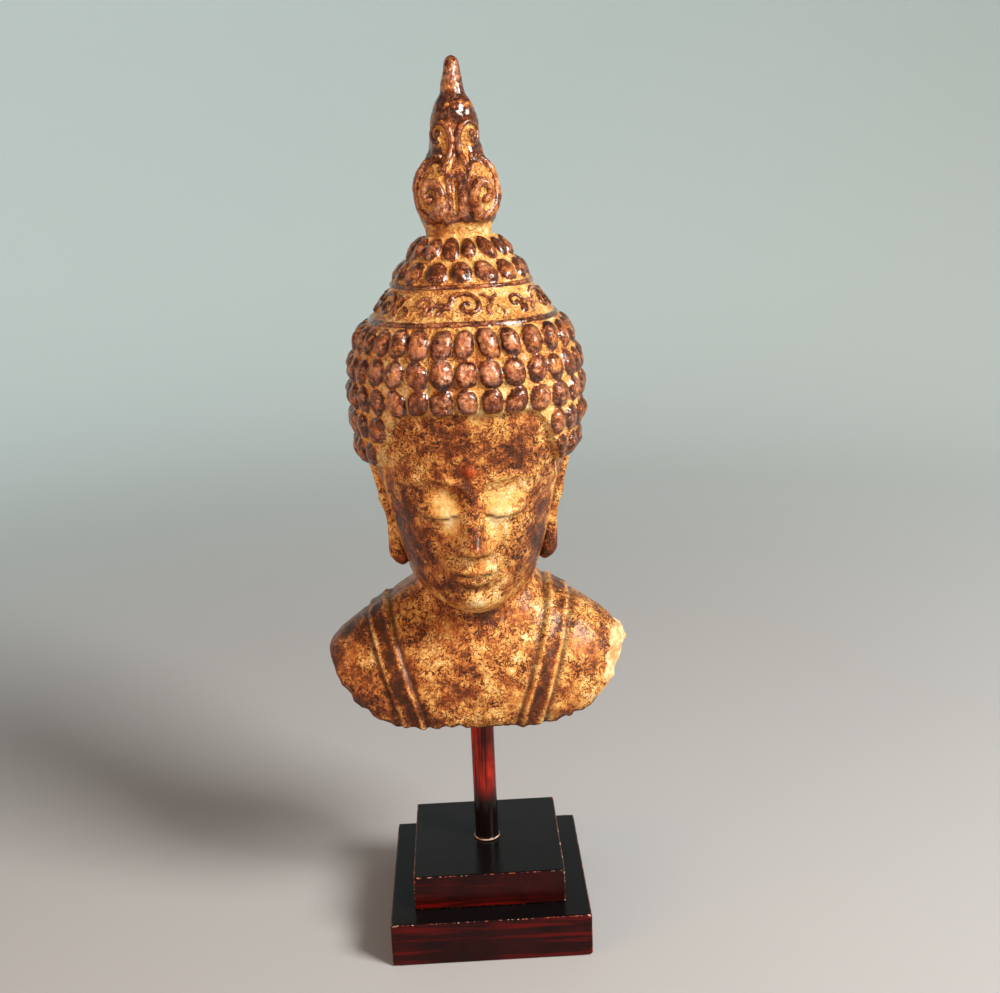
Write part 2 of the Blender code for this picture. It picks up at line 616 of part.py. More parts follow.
def add_block(name, side, bottom, top, collection, finish):
    """A square block with softened edges."""
    mesh = bpy.data.meshes.new(name)
    shape = bmesh.new()
    bmesh.ops.create_cube(shape, size=1.0)
    bmesh.ops.scale(shape, vec=(side, side, top - bottom), verts=shape.verts)
    bmesh.ops.translate(shape, vec=(0, 0, (top - bottom) / 2), verts=shape.verts)
    shape.to_mesh(mesh)
    shape.free()
    block = add_object(name, mesh, collection, finish)
    block.location.z = bottom
    edges = block.modifiers.new("worn edges", "BEVEL")
    edges.width = BLOCK_EDGE_RADIUS
    edges.segments = 2
    edges.limit_method = "ANGLE"
    return block


def cut_rod_hole(piece, name, bottom, top, helpers):
    """A blind round hole for an end of the rod, cut between two levels."""
    mesh = bpy.data.meshes.new(name)
    shape = bmesh.new()
    bmesh.ops.create_cone(
        shape, cap_ends=True, segments=HOLE_SIDES, radius1=HOLE_RADIUS, radius2=HOLE_RADIUS, depth=top - bottom
    )
    shape.to_mesh(mesh)
    shape.free()
    cutter = add_object(name, mesh, helpers)
    cutter.location.z = (top + bottom) / 2
    hide_helper(cutter)
    cut = piece.modifiers.new(name, "BOOLEAN")
    cut.operation = "DIFFERENCE"
    cut.object = cutter


def add_rod(collection, finish):
    """The round rod, turned from its outline, with a bead of lacquer where it meets the block."""
    radius = ROD_DIAMETER / 2
    bead_foot = UPPER_BLOCK_TOP + FIT_GAP
    outline = (
        (0.0, ROD_TOP),
        (radius - ROD_END_CHAMFER, ROD_TOP),
        (radius, ROD_TOP - ROD_END_CHAMFER),
        (radius, bead_foot + 1.6 * ROD_BEAD),
        (radius + 0.7 * ROD_BEAD, bead_foot + 1.1 * ROD_BEAD),
        (radius + ROD_BEAD, bead_foot + 0.4 * ROD_BEAD),
        (radius + 0.9 * ROD_BEAD, bead_foot),
        (radius, bead_foot),
        (radius, ROD_BOTTOM + ROD_END_CHAMFER),
        (radius - ROD_END_CHAMFER, ROD_BOTTOM),
        (0.0, ROD_BOTTOM),
    )
    mesh = bpy.data.meshes.new("rod")
    edges = [(i, i + 1) for i in range(len(outline) - 1)]
    mesh.from_pydata([Vector((r, 0.0, z)) for r, z in outline], edges, [])
    rod = add_object("rod", mesh, collection, finish)
    turned = rod.modifiers.new("turned", "SCREW")
    turned.steps = ROD_SIDES
    turned.render_steps = ROD_SIDES
    turned.use_merge_vertices = True
    turned.merge_threshold = 0.00001
    turned.use_smooth_shade = True


def main():
    for old in list(bpy.data.objects):
        bpy.data.objects.remove(old)
    scene = bpy.context.scene
    parts = bpy.data.collections.new("stone_buddha_head")
    helpers = bpy.data.collections.new("helpers")
    scene.collection.children.link(parts)
    scene.collection.children.link(helpers)
    gilt = material("gilded stone", (0.42, 0.22, 0.07), 0.45, 0.2)
    lacquer = material("dark lacquer", (0.05, 0.012, 0.010), 0.25)
    red_lacquer = material("red lacquer", (0.16, 0.012, 0.008), 0.2)
    add_block("lower_block", LOWER_BLOCK_SIDE, 0.0, LOWER_BLOCK_HEIGHT, parts, lacquer)
    upper = add_block("upper_block", UPPER_BLOCK_SIDE, UPPER_BLOCK_BOTTOM, UPPER_BLOCK_TOP, parts, lacquer)
    cut_rod_hole(upper, "block_hole", ROD_BOTTOM - FIT_GAP, UPPER_BLOCK_TOP + HOLE_REACH, helpers)
    add_rod(parts, red_lacquer)
    add_bust(parts, helpers, gilt)


main()
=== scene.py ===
# %% [markdown]
# # A gilded head on a lacquered stand
#
# The object is a cast stone head and shoulders, painted dark brown, gilded and rubbed back. One red
# lacquered rod holds it over a base of two square blocks. Its solids are packed in a CAD model that is
# loaded here and never changed. This lesson adds what an eye sees from close by: carving that is finer
# than a solid of few faces can hold, and the finish of each surface.
#
# It could be sculpted by hand, but then nobody could read how it was made. Here each shape is a formula,
# worked out for a whole grid of points at once, so every cell can be changed and run again.

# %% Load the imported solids
import json

import bpy
import numpy as np
from math import radians
from mathutils import Matrix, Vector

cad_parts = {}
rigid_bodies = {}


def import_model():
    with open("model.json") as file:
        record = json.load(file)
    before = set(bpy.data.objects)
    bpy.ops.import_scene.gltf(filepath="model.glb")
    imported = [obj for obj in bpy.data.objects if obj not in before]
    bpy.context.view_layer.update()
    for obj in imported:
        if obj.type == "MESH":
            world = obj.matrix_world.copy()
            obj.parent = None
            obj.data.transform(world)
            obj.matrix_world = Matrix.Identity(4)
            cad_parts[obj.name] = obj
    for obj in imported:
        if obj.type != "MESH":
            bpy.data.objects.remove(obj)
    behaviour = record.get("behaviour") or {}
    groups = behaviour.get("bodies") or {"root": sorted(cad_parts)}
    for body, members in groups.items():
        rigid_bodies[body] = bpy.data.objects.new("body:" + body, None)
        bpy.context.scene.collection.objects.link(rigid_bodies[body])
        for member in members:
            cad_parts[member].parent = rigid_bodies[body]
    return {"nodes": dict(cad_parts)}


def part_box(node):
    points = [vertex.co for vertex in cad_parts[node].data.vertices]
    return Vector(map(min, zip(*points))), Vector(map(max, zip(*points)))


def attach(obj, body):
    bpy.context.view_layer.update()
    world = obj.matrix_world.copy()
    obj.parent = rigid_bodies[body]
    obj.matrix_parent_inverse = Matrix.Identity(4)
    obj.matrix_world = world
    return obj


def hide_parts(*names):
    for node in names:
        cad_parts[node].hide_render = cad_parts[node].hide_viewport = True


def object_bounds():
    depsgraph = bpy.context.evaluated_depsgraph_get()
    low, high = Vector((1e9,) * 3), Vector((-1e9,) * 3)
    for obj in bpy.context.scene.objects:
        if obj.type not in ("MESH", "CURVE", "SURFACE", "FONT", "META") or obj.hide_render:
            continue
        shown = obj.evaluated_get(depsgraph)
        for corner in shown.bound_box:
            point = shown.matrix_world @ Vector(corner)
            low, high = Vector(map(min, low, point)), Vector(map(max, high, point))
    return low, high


for old in list(bpy.data.objects):
    bpy.data.objects.remove(old)
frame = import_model()
cad_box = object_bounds()
print("solids:", sorted(frame["nodes"]))
print("whole object:", [round(1000 * v) for v in cad_box[1] - cad_box[0]], "mm")

# %% [markdown]
# ## Camera
#
# The picture is taken from a little above the head, looking down, with the camera turned slightly on its
# own axis. A camera could be aimed by hand with a constraint. Three turns in a fixed order are clearer,
# because each is one number: a turn round the vertical, a dip, and a roll.

# %% Place the camera
CAMERA_PLACE = (-0.0023, -0.7335, 0.4740)
CAMERA_TURN = -1.56
CAMERA_DIP = 14.64
CAMERA_ROLL = -2.35
CAMERA_LENS = 44.4

camera_data = bpy.data.cameras.new("camera")
camera_data.lens = CAMERA_LENS
camera_data.sensor_width = 36.0
camera_data.clip_start = 0.01
camera = bpy.data.objects.new("camera", camera_data)
camera.matrix_world = Matrix.Translation(CAMERA_PLACE)
for degrees, axis in ((CAMERA_TURN, "Z"), (90 - CAMERA_DIP, "X"), (CAMERA_ROLL, "Z")):
    camera.matrix_world = camera.matrix_world @ Matrix.Rotation(radians(degrees), 4, axis)
bpy.context.scene.collection.objects.link(camera)
bpy.context.scene.camera = camera
print("camera height:", CAMERA_PLACE[2], "m, lens:", CAMERA_LENS, "mm")

# %% [markdown]
# ## Building meshes from grids
#
# Most pieces here are round: rings of points, one below the other. A helper closes such a grid with a
# point at each end and turns it into a mesh. Working on whole arrays is many times faster than adding one
# vertex after another.

# %% Turn a grid of rings into a closed mesh
def smooth_mesh(name, points, faces):
    """A mesh from arrays of points and faces, shaded smooth."""
    mesh = bpy.data.meshes.new(name)
    mesh.from_pydata(points, [], faces)
    mesh.shade_smooth()
    return mesh


def ring_quads(index):
    """Quads between neighbouring rows of a grid of point numbers whose columns go round."""
    right = np.roll(index, -1, axis=1)
    return np.stack([index[:-1], index[1:], right[1:], right[:-1]], axis=2).reshape(-1, 4).tolist()


def ring_mesh(name, rings, first, last):
    """Quads between neighbouring rings, and a fan of triangles from each end point to its ring.

    Rings run from first to last. Their columns go round so that the faces point outwards.
    """
    rows, columns = rings.shape[:2]
    index = np.arange(rows * columns).reshape(rows, columns) + 1
    right = np.roll(index, -1, axis=1)
    cap = np.stack([np.zeros(columns, int), index[0], right[0]], axis=1)
    end = np.stack([np.full(columns, rows * columns + 1), right[-1], index[-1]], axis=1)
    points = np.concatenate([[first], rings.reshape(-1, 3), [last]])
    return smooth_mesh(name, points, ring_quads(index) + cap.tolist() + end.tolist())


def ease(value, low, high):
    """0 at low, 1 at high, and 3t^2 - 2t^3 between them. High may be the smaller of the two."""
    share = np.clip((value - low) / (high - low), 0.0, 1.0)
    return share * share * (3.0 - 2.0 * share)


def add_piece(name, mesh):
    """A new object from a mesh, linked to the scene, at the origin."""
    piece = bpy.data.objects.new(name, mesh)
    bpy.context.scene.collection.objects.link(piece)
    return piece


def give_attribute(mesh, name, values):
    """Stores one number for each vertex, which a material can read by this name."""
    attribute = mesh.attributes.new(name, "FLOAT", "POINT")
    attribute.data.foreach_set("value", np.asarray(values, np.float32).ravel())


print("two rings of three points give the quads", ring_quads(np.arange(6).reshape(2, 3)))

# %% [markdown]
# ## Floor and light
#
# The object stands on a plain pale floor that curves up into a low wall all round, so no edge shows from any
# side. Its paint holds painted light: darker grey near the middle and whiter up the wall. A flat plane and a
# coloured sky would do from one view only. The light is a big soft window from the front right, with a weak
# warm one on the left, as daylight beside a warm wall gives.

# %% Make the floor
FLOOR_RADIUS = 1.3
FLOOR_BEND = 1.3
WALL_TOP = 2.0
FLOOR_ROWS = 12
FLOOR_COLUMNS = 96
FLOOR_HOLE = 0.05
PAINTED_LIGHT_FROM_TO = (0.3, 2.2)

bend = np.linspace(0, np.pi / 2, FLOOR_ROWS)[1:]
flat = np.linspace(FLOOR_HOLE, FLOOR_RADIUS, FLOOR_ROWS)
reach = np.concatenate([flat, FLOOR_RADIUS + FLOOR_BEND * np.sin(bend), [FLOOR_RADIUS + FLOOR_BEND]])
height = np.concatenate([0 * flat, FLOOR_BEND * (1 - np.cos(bend)), [WALL_TOP]])
turn = np.linspace(0, 2 * np.pi, FLOOR_COLUMNS, endpoint=False)
floor_points = np.stack(
    [np.outer(reach, np.cos(turn)), np.outer(reach, np.sin(turn)), np.outer(height, 0 * turn + 1)], axis=2
)
floor_index = np.arange(reach.size * turn.size).reshape(reach.size, turn.size)
floor_faces = ring_quads(floor_index) + [floor_index[0].tolist()]
floor_mesh = smooth_mesh("floor", floor_points.reshape(-1, 3), floor_faces)
floor = add_piece("floor", floor_mesh)
from_middle = np.hypot(floor_points[..., 0], floor_points[..., 1])
# painted light: the floor is painted darker near the middle, where the window lights it most, and paler up
# the wall, where less light reaches
give_attribute(floor_mesh, "backdrop_painted_light", ease(from_middle, *PAINTED_LIGHT_FROM_TO))
print("floor:", round(2 * FLOOR_RADIUS, 1), "m across")

# %% Set the lights
SKY_STRENGTH = 0.21
SKY_COLOUR = (1.0, 0.97, 0.93, 1)


def soft_light(name, place, size, spread, power, colour):
    """A square light that faces the object's middle. A narrow spread keeps it off the floor."""
    data = bpy.data.lights.new(name, "AREA")
    data.size, data.energy, data.color, data.spread = size, power, colour, radians(spread)
    light = bpy.data.objects.new(name, data)
    middle = (cad_box[0] + cad_box[1]) / 2
    light.location = place
    light.rotation_euler = (middle - light.location).to_track_quat("-Z", "Y").to_euler()
    bpy.context.scene.collection.objects.link(light)
    return light


window = soft_light(
    "window", place=(1.15, -0.85, 1.2), size=0.6, spread=145, power=32.5, colour=(1.0, 0.95, 0.88)
)
warm_side = soft_light(
    "warm side", place=(-1.2, -0.8, 0.55), size=0.9, spread=80, power=2.0, colour=(1.0, 0.36, 0.07)
)
sky = bpy.data.worlds.new("sky")
sky.use_nodes = True
background = sky.node_tree.nodes["Background"]
background.inputs["Color"].default_value = SKY_COLOUR
background.inputs["Strength"].default_value = SKY_STRENGTH
bpy.context.scene.world = sky
bpy.context.scene.view_settings.view_transform = "Standard"
print("lights:", window.name, "and", warm_side.name)

# %% [markdown]
# ## Smooth steps, hills and lines
#
# Carving is a sum of simple forms. A few helpers make nearly all of them: the smooth step from before, a
# round hill, a smooth line through a few chosen points, and an oval.

# %% Define the basic forms
def hill(x, z, at_x, at_z, wide, tall):
    """e to the power of minus the squared distance, measured in wide and tall: a hill of height 1."""
    return np.exp(-(((x - at_x) / wide) ** 2) - ((z - at_z) / tall) ** 2)


def line_mark(distance, half_width):
    """1 on a line and fading on both sides, as e to the power of minus distance squared."""
    return np.exp(-((distance / half_width) ** 2))


def smooth_line(table, column, at):
    """Cubics through a table's points, with slopes that never let the line overshoot them."""
    points = np.array(sorted(table), float)
    x, y = points[:, 0], points[:, column]
    step = np.diff(x)
    rise = np.diff(y) / step
    slope = np.zeros(len(x))
    flat = rise[:-1] * rise[1:] <= 0
    mean = 2 * rise[:-1] * rise[1:] / np.where(flat, 1.0, rise[:-1] + rise[1:])
    slope[1:-1] = np.where(flat, 0.0, mean)
    slope[0], slope[-1] = rise[0], rise[-1]
    at = np.clip(at, x[0], x[-1])
    i = np.clip(np.searchsorted(x, at) - 1, 0, len(step) - 1)
    t = (at - x[i]) / step[i]
    start = (1 + 2 * t) * (1 - t) ** 2 * y[i] + t * (1 - t) ** 2 * step[i] * slope[i]
    end = t * t * (3 - 2 * t) * y[i + 1] + t * t * (t - 1) * step[i] * slope[i + 1]
    return start + end


def oval(angle, half_width, front, back, square):
    """Distance from the axis to an oval: (sin / width)^p + (cos / depth)^p, to the power of -1 / p."""
    depth = np.where(np.cos(angle) > 0, front, back)
    across = np.abs(np.sin(angle) / half_width) ** square
    along = np.abs(np.cos(angle) / depth) ** square
    return (across + along) ** (-1.0 / square)


def joined(a, b, fillet):
    """The larger of two distances, with a fillet: half of a + b + the root of (a - b)^2 + fillet^2."""
    return 0.5 * (a + b + np.sqrt((a - b) ** 2 + fillet**2))


def scatter(i, k):
    """A number from 0 to 1 that looks random and is always the same: the fraction of a large sine."""
    wave = np.sin(i * 12.9898 + k * 78.233) * 43758.5453
    return wave - np.floor(wave)


def cloud(points, size):
    """Soft lumps from -1 to 1: a point blends the scattered numbers of the eight lattice corners round it."""
    at = points / size
    cell = np.floor(at)
    part = at - cell
    part = part * part * (3 - 2 * part)
    total = np.zeros(points.shape[:-1])
    for corner in np.ndindex(2, 2, 2):
        near = cell + corner
        number = np.sin(near @ (127.1, 311.7, 74.7)) * 43758.5453
        weight = np.prod(np.where(np.array(corner) == 1, part, 1 - part), axis=-1)
        total += weight * (number - np.floor(number))
    return 2 * total - 1


print("half way up a step:", ease(0.5, 0, 1), " top of a hill:", hill(0, 0, 0, 0, 1, 1))

# %% [markdown]
# ## Sizes of the bust
#
# A carver divides a figure into equal parts and gives every place as so many parts. The bust is 390 parts
# high here. Levels count from its lower edge. Angles are in radians from the front and grow towards +X.

# %% Name the levels
BUST_FOOT = 0.150
PARTS = 390.0
PART = (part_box("bust")[1].z - BUST_FOOT) / PARTS

TIP = PARTS
FINIAL_FOOT = 291.0
BAND_TOP = 264.0
BAND_FOOT = 245.0
HAIRLINE = 197.0
CHIN = 76.0
EAR_TOP = 168.0
NAPE = 117.0
COLLAR = 92.0
UNDERSIDE = 3.0

COLUMNS = 284
FRONT_CROWDING = 0.33
FINIAL_ROWS = 80
HEAD_ROWS = 176
SHOULDER_ROWS = 66
UNDERSIDE_ROWS = 8

even = np.linspace(-np.pi, np.pi, COLUMNS, endpoint=False)[None, :]
angle = even - FRONT_CROWDING * np.sin(even)


def in_place(parts):
    """Points in parts of the bust turned into metres, where the bust stands."""
    return np.asarray(parts) * PART + (0.0, 0.0, BUST_FOOT)


def placed(angle, radius, z):
    """Points at a distance from the axis: x is radius times sine, y is minus radius times cosine."""
    return np.stack([radius * np.sin(angle), -radius * np.cos(angle), z + 0 * angle], axis=2)


def grid_normals(points):
    """The cross product of the step down and the step across, made one long."""
    down = np.gradient(points, axis=0)
    wrapped = np.concatenate([points[:, -1:], points, points[:, :1]], axis=1)
    across = (wrapped[:, 2:] - wrapped[:, :-2]) / 2
    normal = np.cross(down, across)
    return normal / np.maximum(np.linalg.norm(normal, axis=2, keepdims=True), 1e-9)


print("one part:", round(1000 * PART, 3), "mm, columns:", COLUMNS)

# %% [markdown]
# ## Hair
#
# The hair is rows of small snail curls, cast as oval beads that nearly touch. They could be separate
# balls, but the real ones are one casting with the head, and grooves between them hold the ochre paint.
# So each bead is a dome raised out of the head's own grid, a little different from its neighbours in
# size, height and place.

# %% Set out the curls
CURLS_ROUND = 32
CURL_ROWS = 8
CURL_RISE = 4.7
CURL_TOP = BAND_FOOT - 2.3
CROWN_CURLS_ROUND = 17
CROWN_ROWS = 2
CROWN_RISE = 3.4
CROWN_TOP = FINIAL_FOOT - 1.0
CROWN_CURLS_FOOT = BAND_TOP + 1.5
CURL_HALF_WIDTH = 0.51
CURL_HALF_HEIGHT = 0.53
CURL_CLEARANCE = -3.4
DOME_POWER = 0.66
STAGGER_ANGLES = (0.3, 1.6)
HAIR_THICKNESS = 2.4
HAIR_CORNER_ANGLES = (0.52, 1.04)
HAIR_CORNER_DROP = 46.0
TEMPLE_ANGLE = radians(56)
TEMPLE_RADIUS = 60.0
NAPE_ANGLES = (1.75, 2.15)


def face_inset(angle, z):
    """How far inside the face's border a point lies: below the hairline and in front of the temples."""
    turn = np.abs(angle)
    line = HAIRLINE - HAIR_CORNER_DROP * ease(turn, *HAIR_CORNER_ANGLES)
    return np.minimum(line - z, (TEMPLE_ANGLE - turn) * TEMPLE_RADIUS)


def skin_inset(angle, z):
    """How far outside the hair a point lies: on the face, under the ears or on the nape."""
    over_ear = EAR_TOP - 4
    low_line = over_ear + (NAPE - over_ear) * ease(np.abs(angle), *NAPE_ANGLES)
    return np.maximum(face_inset(angle, z), low_line - z)


def beads(angle, down, round_count, row_count, aligned, bare):
    """Domes in rows: (1 - |across|^p - |along|^p)^DOME_POWER. Down counts rows, every other one staggered.

    Where aligned is 1 the beads stand in columns, and p is larger, which makes them squarer.
    """
    row = np.clip(np.floor(down), 0, row_count - 1)
    stagger = 0.5 * ((row_count - 1 - row) % 2) * (1 - aligned)
    count = angle / (2 * np.pi) * round_count - stagger
    column = np.round(count)
    centre = (column + stagger) * 2 * np.pi / round_count
    own = column % round_count
    size = 0.92 + 0.12 * scatter(own, row)
    across = (count - column - 0.06 * (scatter(own, row + 31) - 0.5)) / (CURL_HALF_WIDTH * size)
    along = (down - row - 0.5 - 0.08 * (scatter(own, row + 57) - 0.5)) / (CURL_HALF_HEIGHT * size)
    along = along + 0.5 * (scatter(own, row + 11) - 0.5) * across
    power = 2.0 + 0.45 * aligned
    dome = np.clip(1 - np.abs(across) ** power - np.abs(along) ** power, 0, 1) ** DOME_POWER
    height = 0.86 + 0.22 * scatter(own, row + 83)
    inside = (down >= 0) & (down < row_count)
    return np.where(inside & ~bare(centre, row), height * dome, 0.0)


def curls(angle, z):
    """Domes of the hair below the band, and of the crown above it, each as a share of its full rise."""
    pitch = (CURL_TOP - NAPE) / CURL_ROWS
    crown_pitch = (CROWN_TOP - CROWN_CURLS_FOOT) / CROWN_ROWS

    def bare(centre, row):
        return skin_inset(centre, CURL_TOP - (row + 0.5) * pitch) > -CURL_CLEARANCE

    def never(centre, row):
        return np.zeros(centre.shape, bool)

    aligned = ease(np.abs(angle), STAGGER_ANGLES[1], STAGGER_ANGLES[0])
    hair = beads(angle, (CURL_TOP - z) / pitch, CURLS_ROUND, CURL_ROWS, aligned, bare)
    crown = beads(angle, (CROWN_TOP - z) / crown_pitch, CROWN_CURLS_ROUND, CROWN_ROWS, 0 * angle, never)
    return hair * ease(skin_inset(angle, z), 0.8, -1.2), crown


print("curls:", CURLS_ROUND, "round in", CURL_ROWS, "rows,", CROWN_CURLS_ROUND * CROWN_ROWS, "on the crown")

# %% [markdown]
# ## The carved band
#
# Between hair and crown runs a band with a running scroll between two lines. Its strokes are raised and
# dark, its ground is ochre. A stroke is a path of points, and each grid point takes the height of the
# nearest one: a round ridge. The pattern repeats six times round the head.

# %% Draw strokes as ridges
BAND_RADIUS = 48.0
BAND_STRETCH = 1.24
BAND_LINE_RISE = 1.7
BAND_LINE_WIDTH = 0.95
SCROLL_RISE = 1.8
SCROLL_WIDTH = 1.25
SCROLL_UNITS = 6
SCROLL_SHIFT = -3.0


def scroll(centre, eye, opened, power, tail, start, turns, squash=1.0):
    """A spiral from its tail in to its eye: the radius shrinks as (1 - share)^power while the turn grows."""
    share = np.linspace(0, 1, 64)
    radius = eye + opened * (1 - share) ** power + tail * np.exp(-share / 0.09)
    turn = start + 2 * np.pi * turns * share
    across = centre[0] + squash * radius * np.cos(turn)
    return np.stack([across, centre[1] + radius * np.sin(turn), 1 - 0.3 * share], axis=1)


def sprig(start, end, bow, waves=1):
    """A leaf stroke: a straight line bowed sideways by a half sine, or by a whole one for an S."""
    share = np.linspace(0, 1, 24)
    start, end = np.array(start), np.array(end)
    side = np.array([start[1] - end[1], end[0] - start[0]]) * bow
    points = start + (end - start) * share[:, None] + side * np.sin(np.pi * waves * share)[:, None]
    return np.column_stack([points, 0.7 + 0.3 * np.sin(np.pi * share)])


def ridge(across, up, path, width):
    """A soft ridge along a path: 1 - (distance / width)^2, from the nearest of its points."""
    near = np.zeros(across.shape)
    for at_across, at_up, share in path:
        reach = ((across - at_across) ** 2 + (up - at_up) ** 2) / (width * share) ** 2
        near = np.maximum(near, 1 - reach)
    return near


def band(angle, z):
    """The lines and the strokes of the band, each as a share of its full rise."""
    lines = sum(line_mark(z - line, BAND_LINE_WIDTH) for line in (BAND_TOP, BAND_FOOT))
    middle = (BAND_TOP + BAND_FOOT) / 2
    reach = np.pi * BAND_RADIUS / SCROLL_UNITS
    across = np.mod(angle * BAND_RADIUS + reach - SCROLL_SHIFT, 2 * reach) - reach
    up = (z - middle) * BAND_STRETCH
    strokes = (
        (1.5, scroll((6.0, -0.3), 1.5, 6.2, 1.0, 3.0, 2.6, -1.2)),
        (1.2, scroll((-18.0, 1.0), 1.0, 4.4, 1.0, 2.0, -1.0, 1.1)),
        (1.4, sprig((-16.0, -5.5), (-2.5, 6.0), 0.16, 2)),
        (1.1, sprig((-9.5, -6.0), (-3.5, -1.5), 0.2)),
        (1.1, sprig((13.5, 6.5), (18.5, 0.5), 0.2)),
        (1.1, sprig((18.5, 0.5), (22.5, 6.0), 0.2)),
        (1.2, sprig((18.5, 0.5), (16.5, -6.0), -0.2)),
        (1.0, sprig((21.5, -1.0), (24.0, -6.0), 0.2)),
    )
    carved = np.zeros(across.shape)
    rows = np.abs(z[:, 0] - middle) < BAND_TOP - middle + SCROLL_WIDTH
    for bold, path in strokes:
        carved[rows] = np.maximum(carved[rows], ridge(across[rows], up[rows], path, bold * SCROLL_WIDTH))
    return lines, carved


print("band:", SCROLL_UNITS, "scroll units of", round(2 * np.pi * BAND_RADIUS / SCROLL_UNITS), "parts each")

# %% [markdown]
# ## The finial
#
# A flame rises from the crown. Two tiers of volutes wrap it, a pair in front and a pair behind, on
# swelling lobes, with a smooth pointed tip. A volute could be a curve object wrapped round the form, but
# as a ridge in the same grid it melts into the flame, as it does in a casting.

# %% Carve the flame
LOBE_ANGLES = (-2.5, -0.64, 0.64, 2.5)
LOWER_LOBE = FINIAL_FOOT + 0.232 * (TIP - FINIAL_FOOT)
LOWER_SCROLL_RISE = 3.0
LOWER_SCROLL_WIDTH = 3.7
UPPER_LOBE = FINIAL_FOOT + 0.566 * (TIP - FINIAL_FOOT)
UPPER_SCROLL_RISE = 2.2
UPPER_SCROLL_WIDTH = 2.3
PUPIL_RADIUS = 2.8
LOBE_SINK = 1.4
VALLEY_DEPTH = 2.2
FINIAL_OUTLINE = (
    (1.000, 0.0), (0.990, 2.6), (0.960, 4.6), (0.899, 6.4), (0.828, 8.0), (0.778, 9.8), (0.727, 12.6),
    (0.667, 14.6), (0.586, 15.3), (0.515, 16.2), (0.455, 18.2), (0.384, 21.8), (0.313, 24.4), (0.232, 25.4),
    (0.152, 24.8), (0.081, 22.4), (0.030, 20.4), (0.000, 20.5),
)


def volutes(angle, z, radius):
    """Three grids: the lobes' swelling and the ridges' rise in parts, and where the ochre ground lies bare,
    together with the front valley, painted ochre as a painted highlight.

    A volute is a thick spiral that starts as a point, mirrored left and right. The upper ones have a pupil.
    """
    swell, rise, ground = (np.zeros(z.shape) for _ in range(3))
    lower = scroll((0.0, LOWER_LOBE), 3.0, 18.5, 1.6, 0.0, 1.75, -1.55, 0.74)
    along = np.linspace(0, 1, len(lower))
    lower[:, 2] = (0.3 + 0.8 * ease(along, 0.0, 0.16)) * (1 - 0.42 * along)
    upper = scroll((0.0, UPPER_LOBE), 4.4, 3.6, 1.0, 13.0, 4.3, -0.95, 0.85)
    for turn in LOBE_ANGLES:
        hand = np.sign(np.sin(2 * turn))
        across = hand * np.angle(np.exp(1j * (angle - turn))) * radius
        swell += 2.0 * hill(across, z, 1.0, LOWER_LOBE, 10.0, 16.0)
        swell += 1.3 * hill(across, z, 0.0, UPPER_LOBE, 6.5, 8.5)
        pupil = np.sqrt(np.clip(1 - (across**2 + (z - UPPER_LOBE) ** 2) / PUPIL_RADIUS**2, 0, 1))
        ridges = LOWER_SCROLL_RISE * np.sqrt(ridge(across, z, lower, LOWER_SCROLL_WIDTH))
        ridges = np.maximum(ridges, UPPER_SCROLL_RISE * np.sqrt(ridge(across, z, upper, UPPER_SCROLL_WIDTH)))
        rise = np.maximum(rise, np.maximum(ridges, UPPER_SCROLL_RISE * pupil))
        ground = np.maximum(ground, ease(np.hypot(across / 10.5, (z - LOWER_LOBE - 3) / 16.0), 1.1, 0.7))
        ground = np.maximum(ground, ease(np.hypot(across / 7.0, (z - UPPER_LOBE) / 8.0), 1.1, 0.7))
        beak = np.hypot((across + 6.0 - 0.3 * (z - UPPER_LOBE + 8)) / 3.6, (z - UPPER_LOBE + 10) / 13.0)
        ground = np.maximum(ground, ease(beak, 1.2, 0.6))
    # the front valley between the lower lobes: carved in, and painted ochre as a painted highlight on its lit
    # wall
    valley_and_highlight = line_mark(radius * np.sin(angle) + 1.2, 1.7) * ease(z, LOWER_LOBE - 16, LOWER_LOBE - 9)
    valley_and_highlight = valley_and_highlight * ease(z, LOWER_LOBE + 14, LOWER_LOBE + 6)
    swell -= VALLEY_DEPTH * valley_and_highlight + LOBE_SINK
    return swell, rise, np.maximum(ground, valley_and_highlight)


def finial_rings(angle):
    """Rings of the finial from just under its tip to its foot, with their marks for the paint."""
    share = 1 - np.linspace(0, 1, FINIAL_ROWS + 1)[1:, None] ** 1.1 + 0 * angle
    z = FINIAL_FOOT + (TIP - FINIAL_FOOT) * share
    radius = smooth_line(FINIAL_OUTLINE, 1, share)
    points = placed(angle, radius, z)
    swell, rise, ground = volutes(angle + 0 * z, z, radius)
    relief = swell + rise + 0.5 * cloud(points, 5.0) + 0.3 * cloud(points, 2.6)
    points += grid_normals(points) * (relief * ease(z, TIP, TIP - 14))[..., None]
    collar = (0.85 + 0.35 * cloud(points, 6.0)) * ease(share, 0.11, 0.03)
    collar += 0.5 * line_mark(share - 0.73, 0.05)
    # ground also holds the valley's painted highlight
    bare = np.clip(0.75 - np.maximum(ground, collar), 0, 1)
    tops = np.maximum(bare, ease(rise, 0.7, 2.5))
    return points, {"tops": tops, "carved": np.ones(z.shape)}


finial, finial_marks = finial_rings(angle)
print("finial:", finial.shape[0], "rings,", round(np.ptp(finial[..., 0])), "parts wide")

# %% [markdown]
# ## The face
#
# The face is calm and general. It is laid out as a drawing school teaches it: three equal thirds from
# hairline to chin, brows at the first, the nose's foot at the second, and the mouth a third of the way
# below that. Lids are lowered. Each feature is a few hills and lines pushed forward from the head's oval,
# which keeps them smooth.

# %% Lay out the features
THIRD = (HAIRLINE - CHIN) / 3
BROW = HAIRLINE - THIRD
EYE = BROW - 14.0
NOSE_FOOT = CHIN + THIRD
MOUTH = NOSE_FOOT - THIRD / 3
EYE_OUT = 19.0
EYE_HALF_WIDTH = 12.5
BROW_HALF_SPAN = 46.0
NOSE_HEIGHT = 13.5
MOUTH_HALF_WIDTH = 15.5
LIP_HEIGHT = 6.0
FOREHEAD_MARK_RADIUS = 3.1


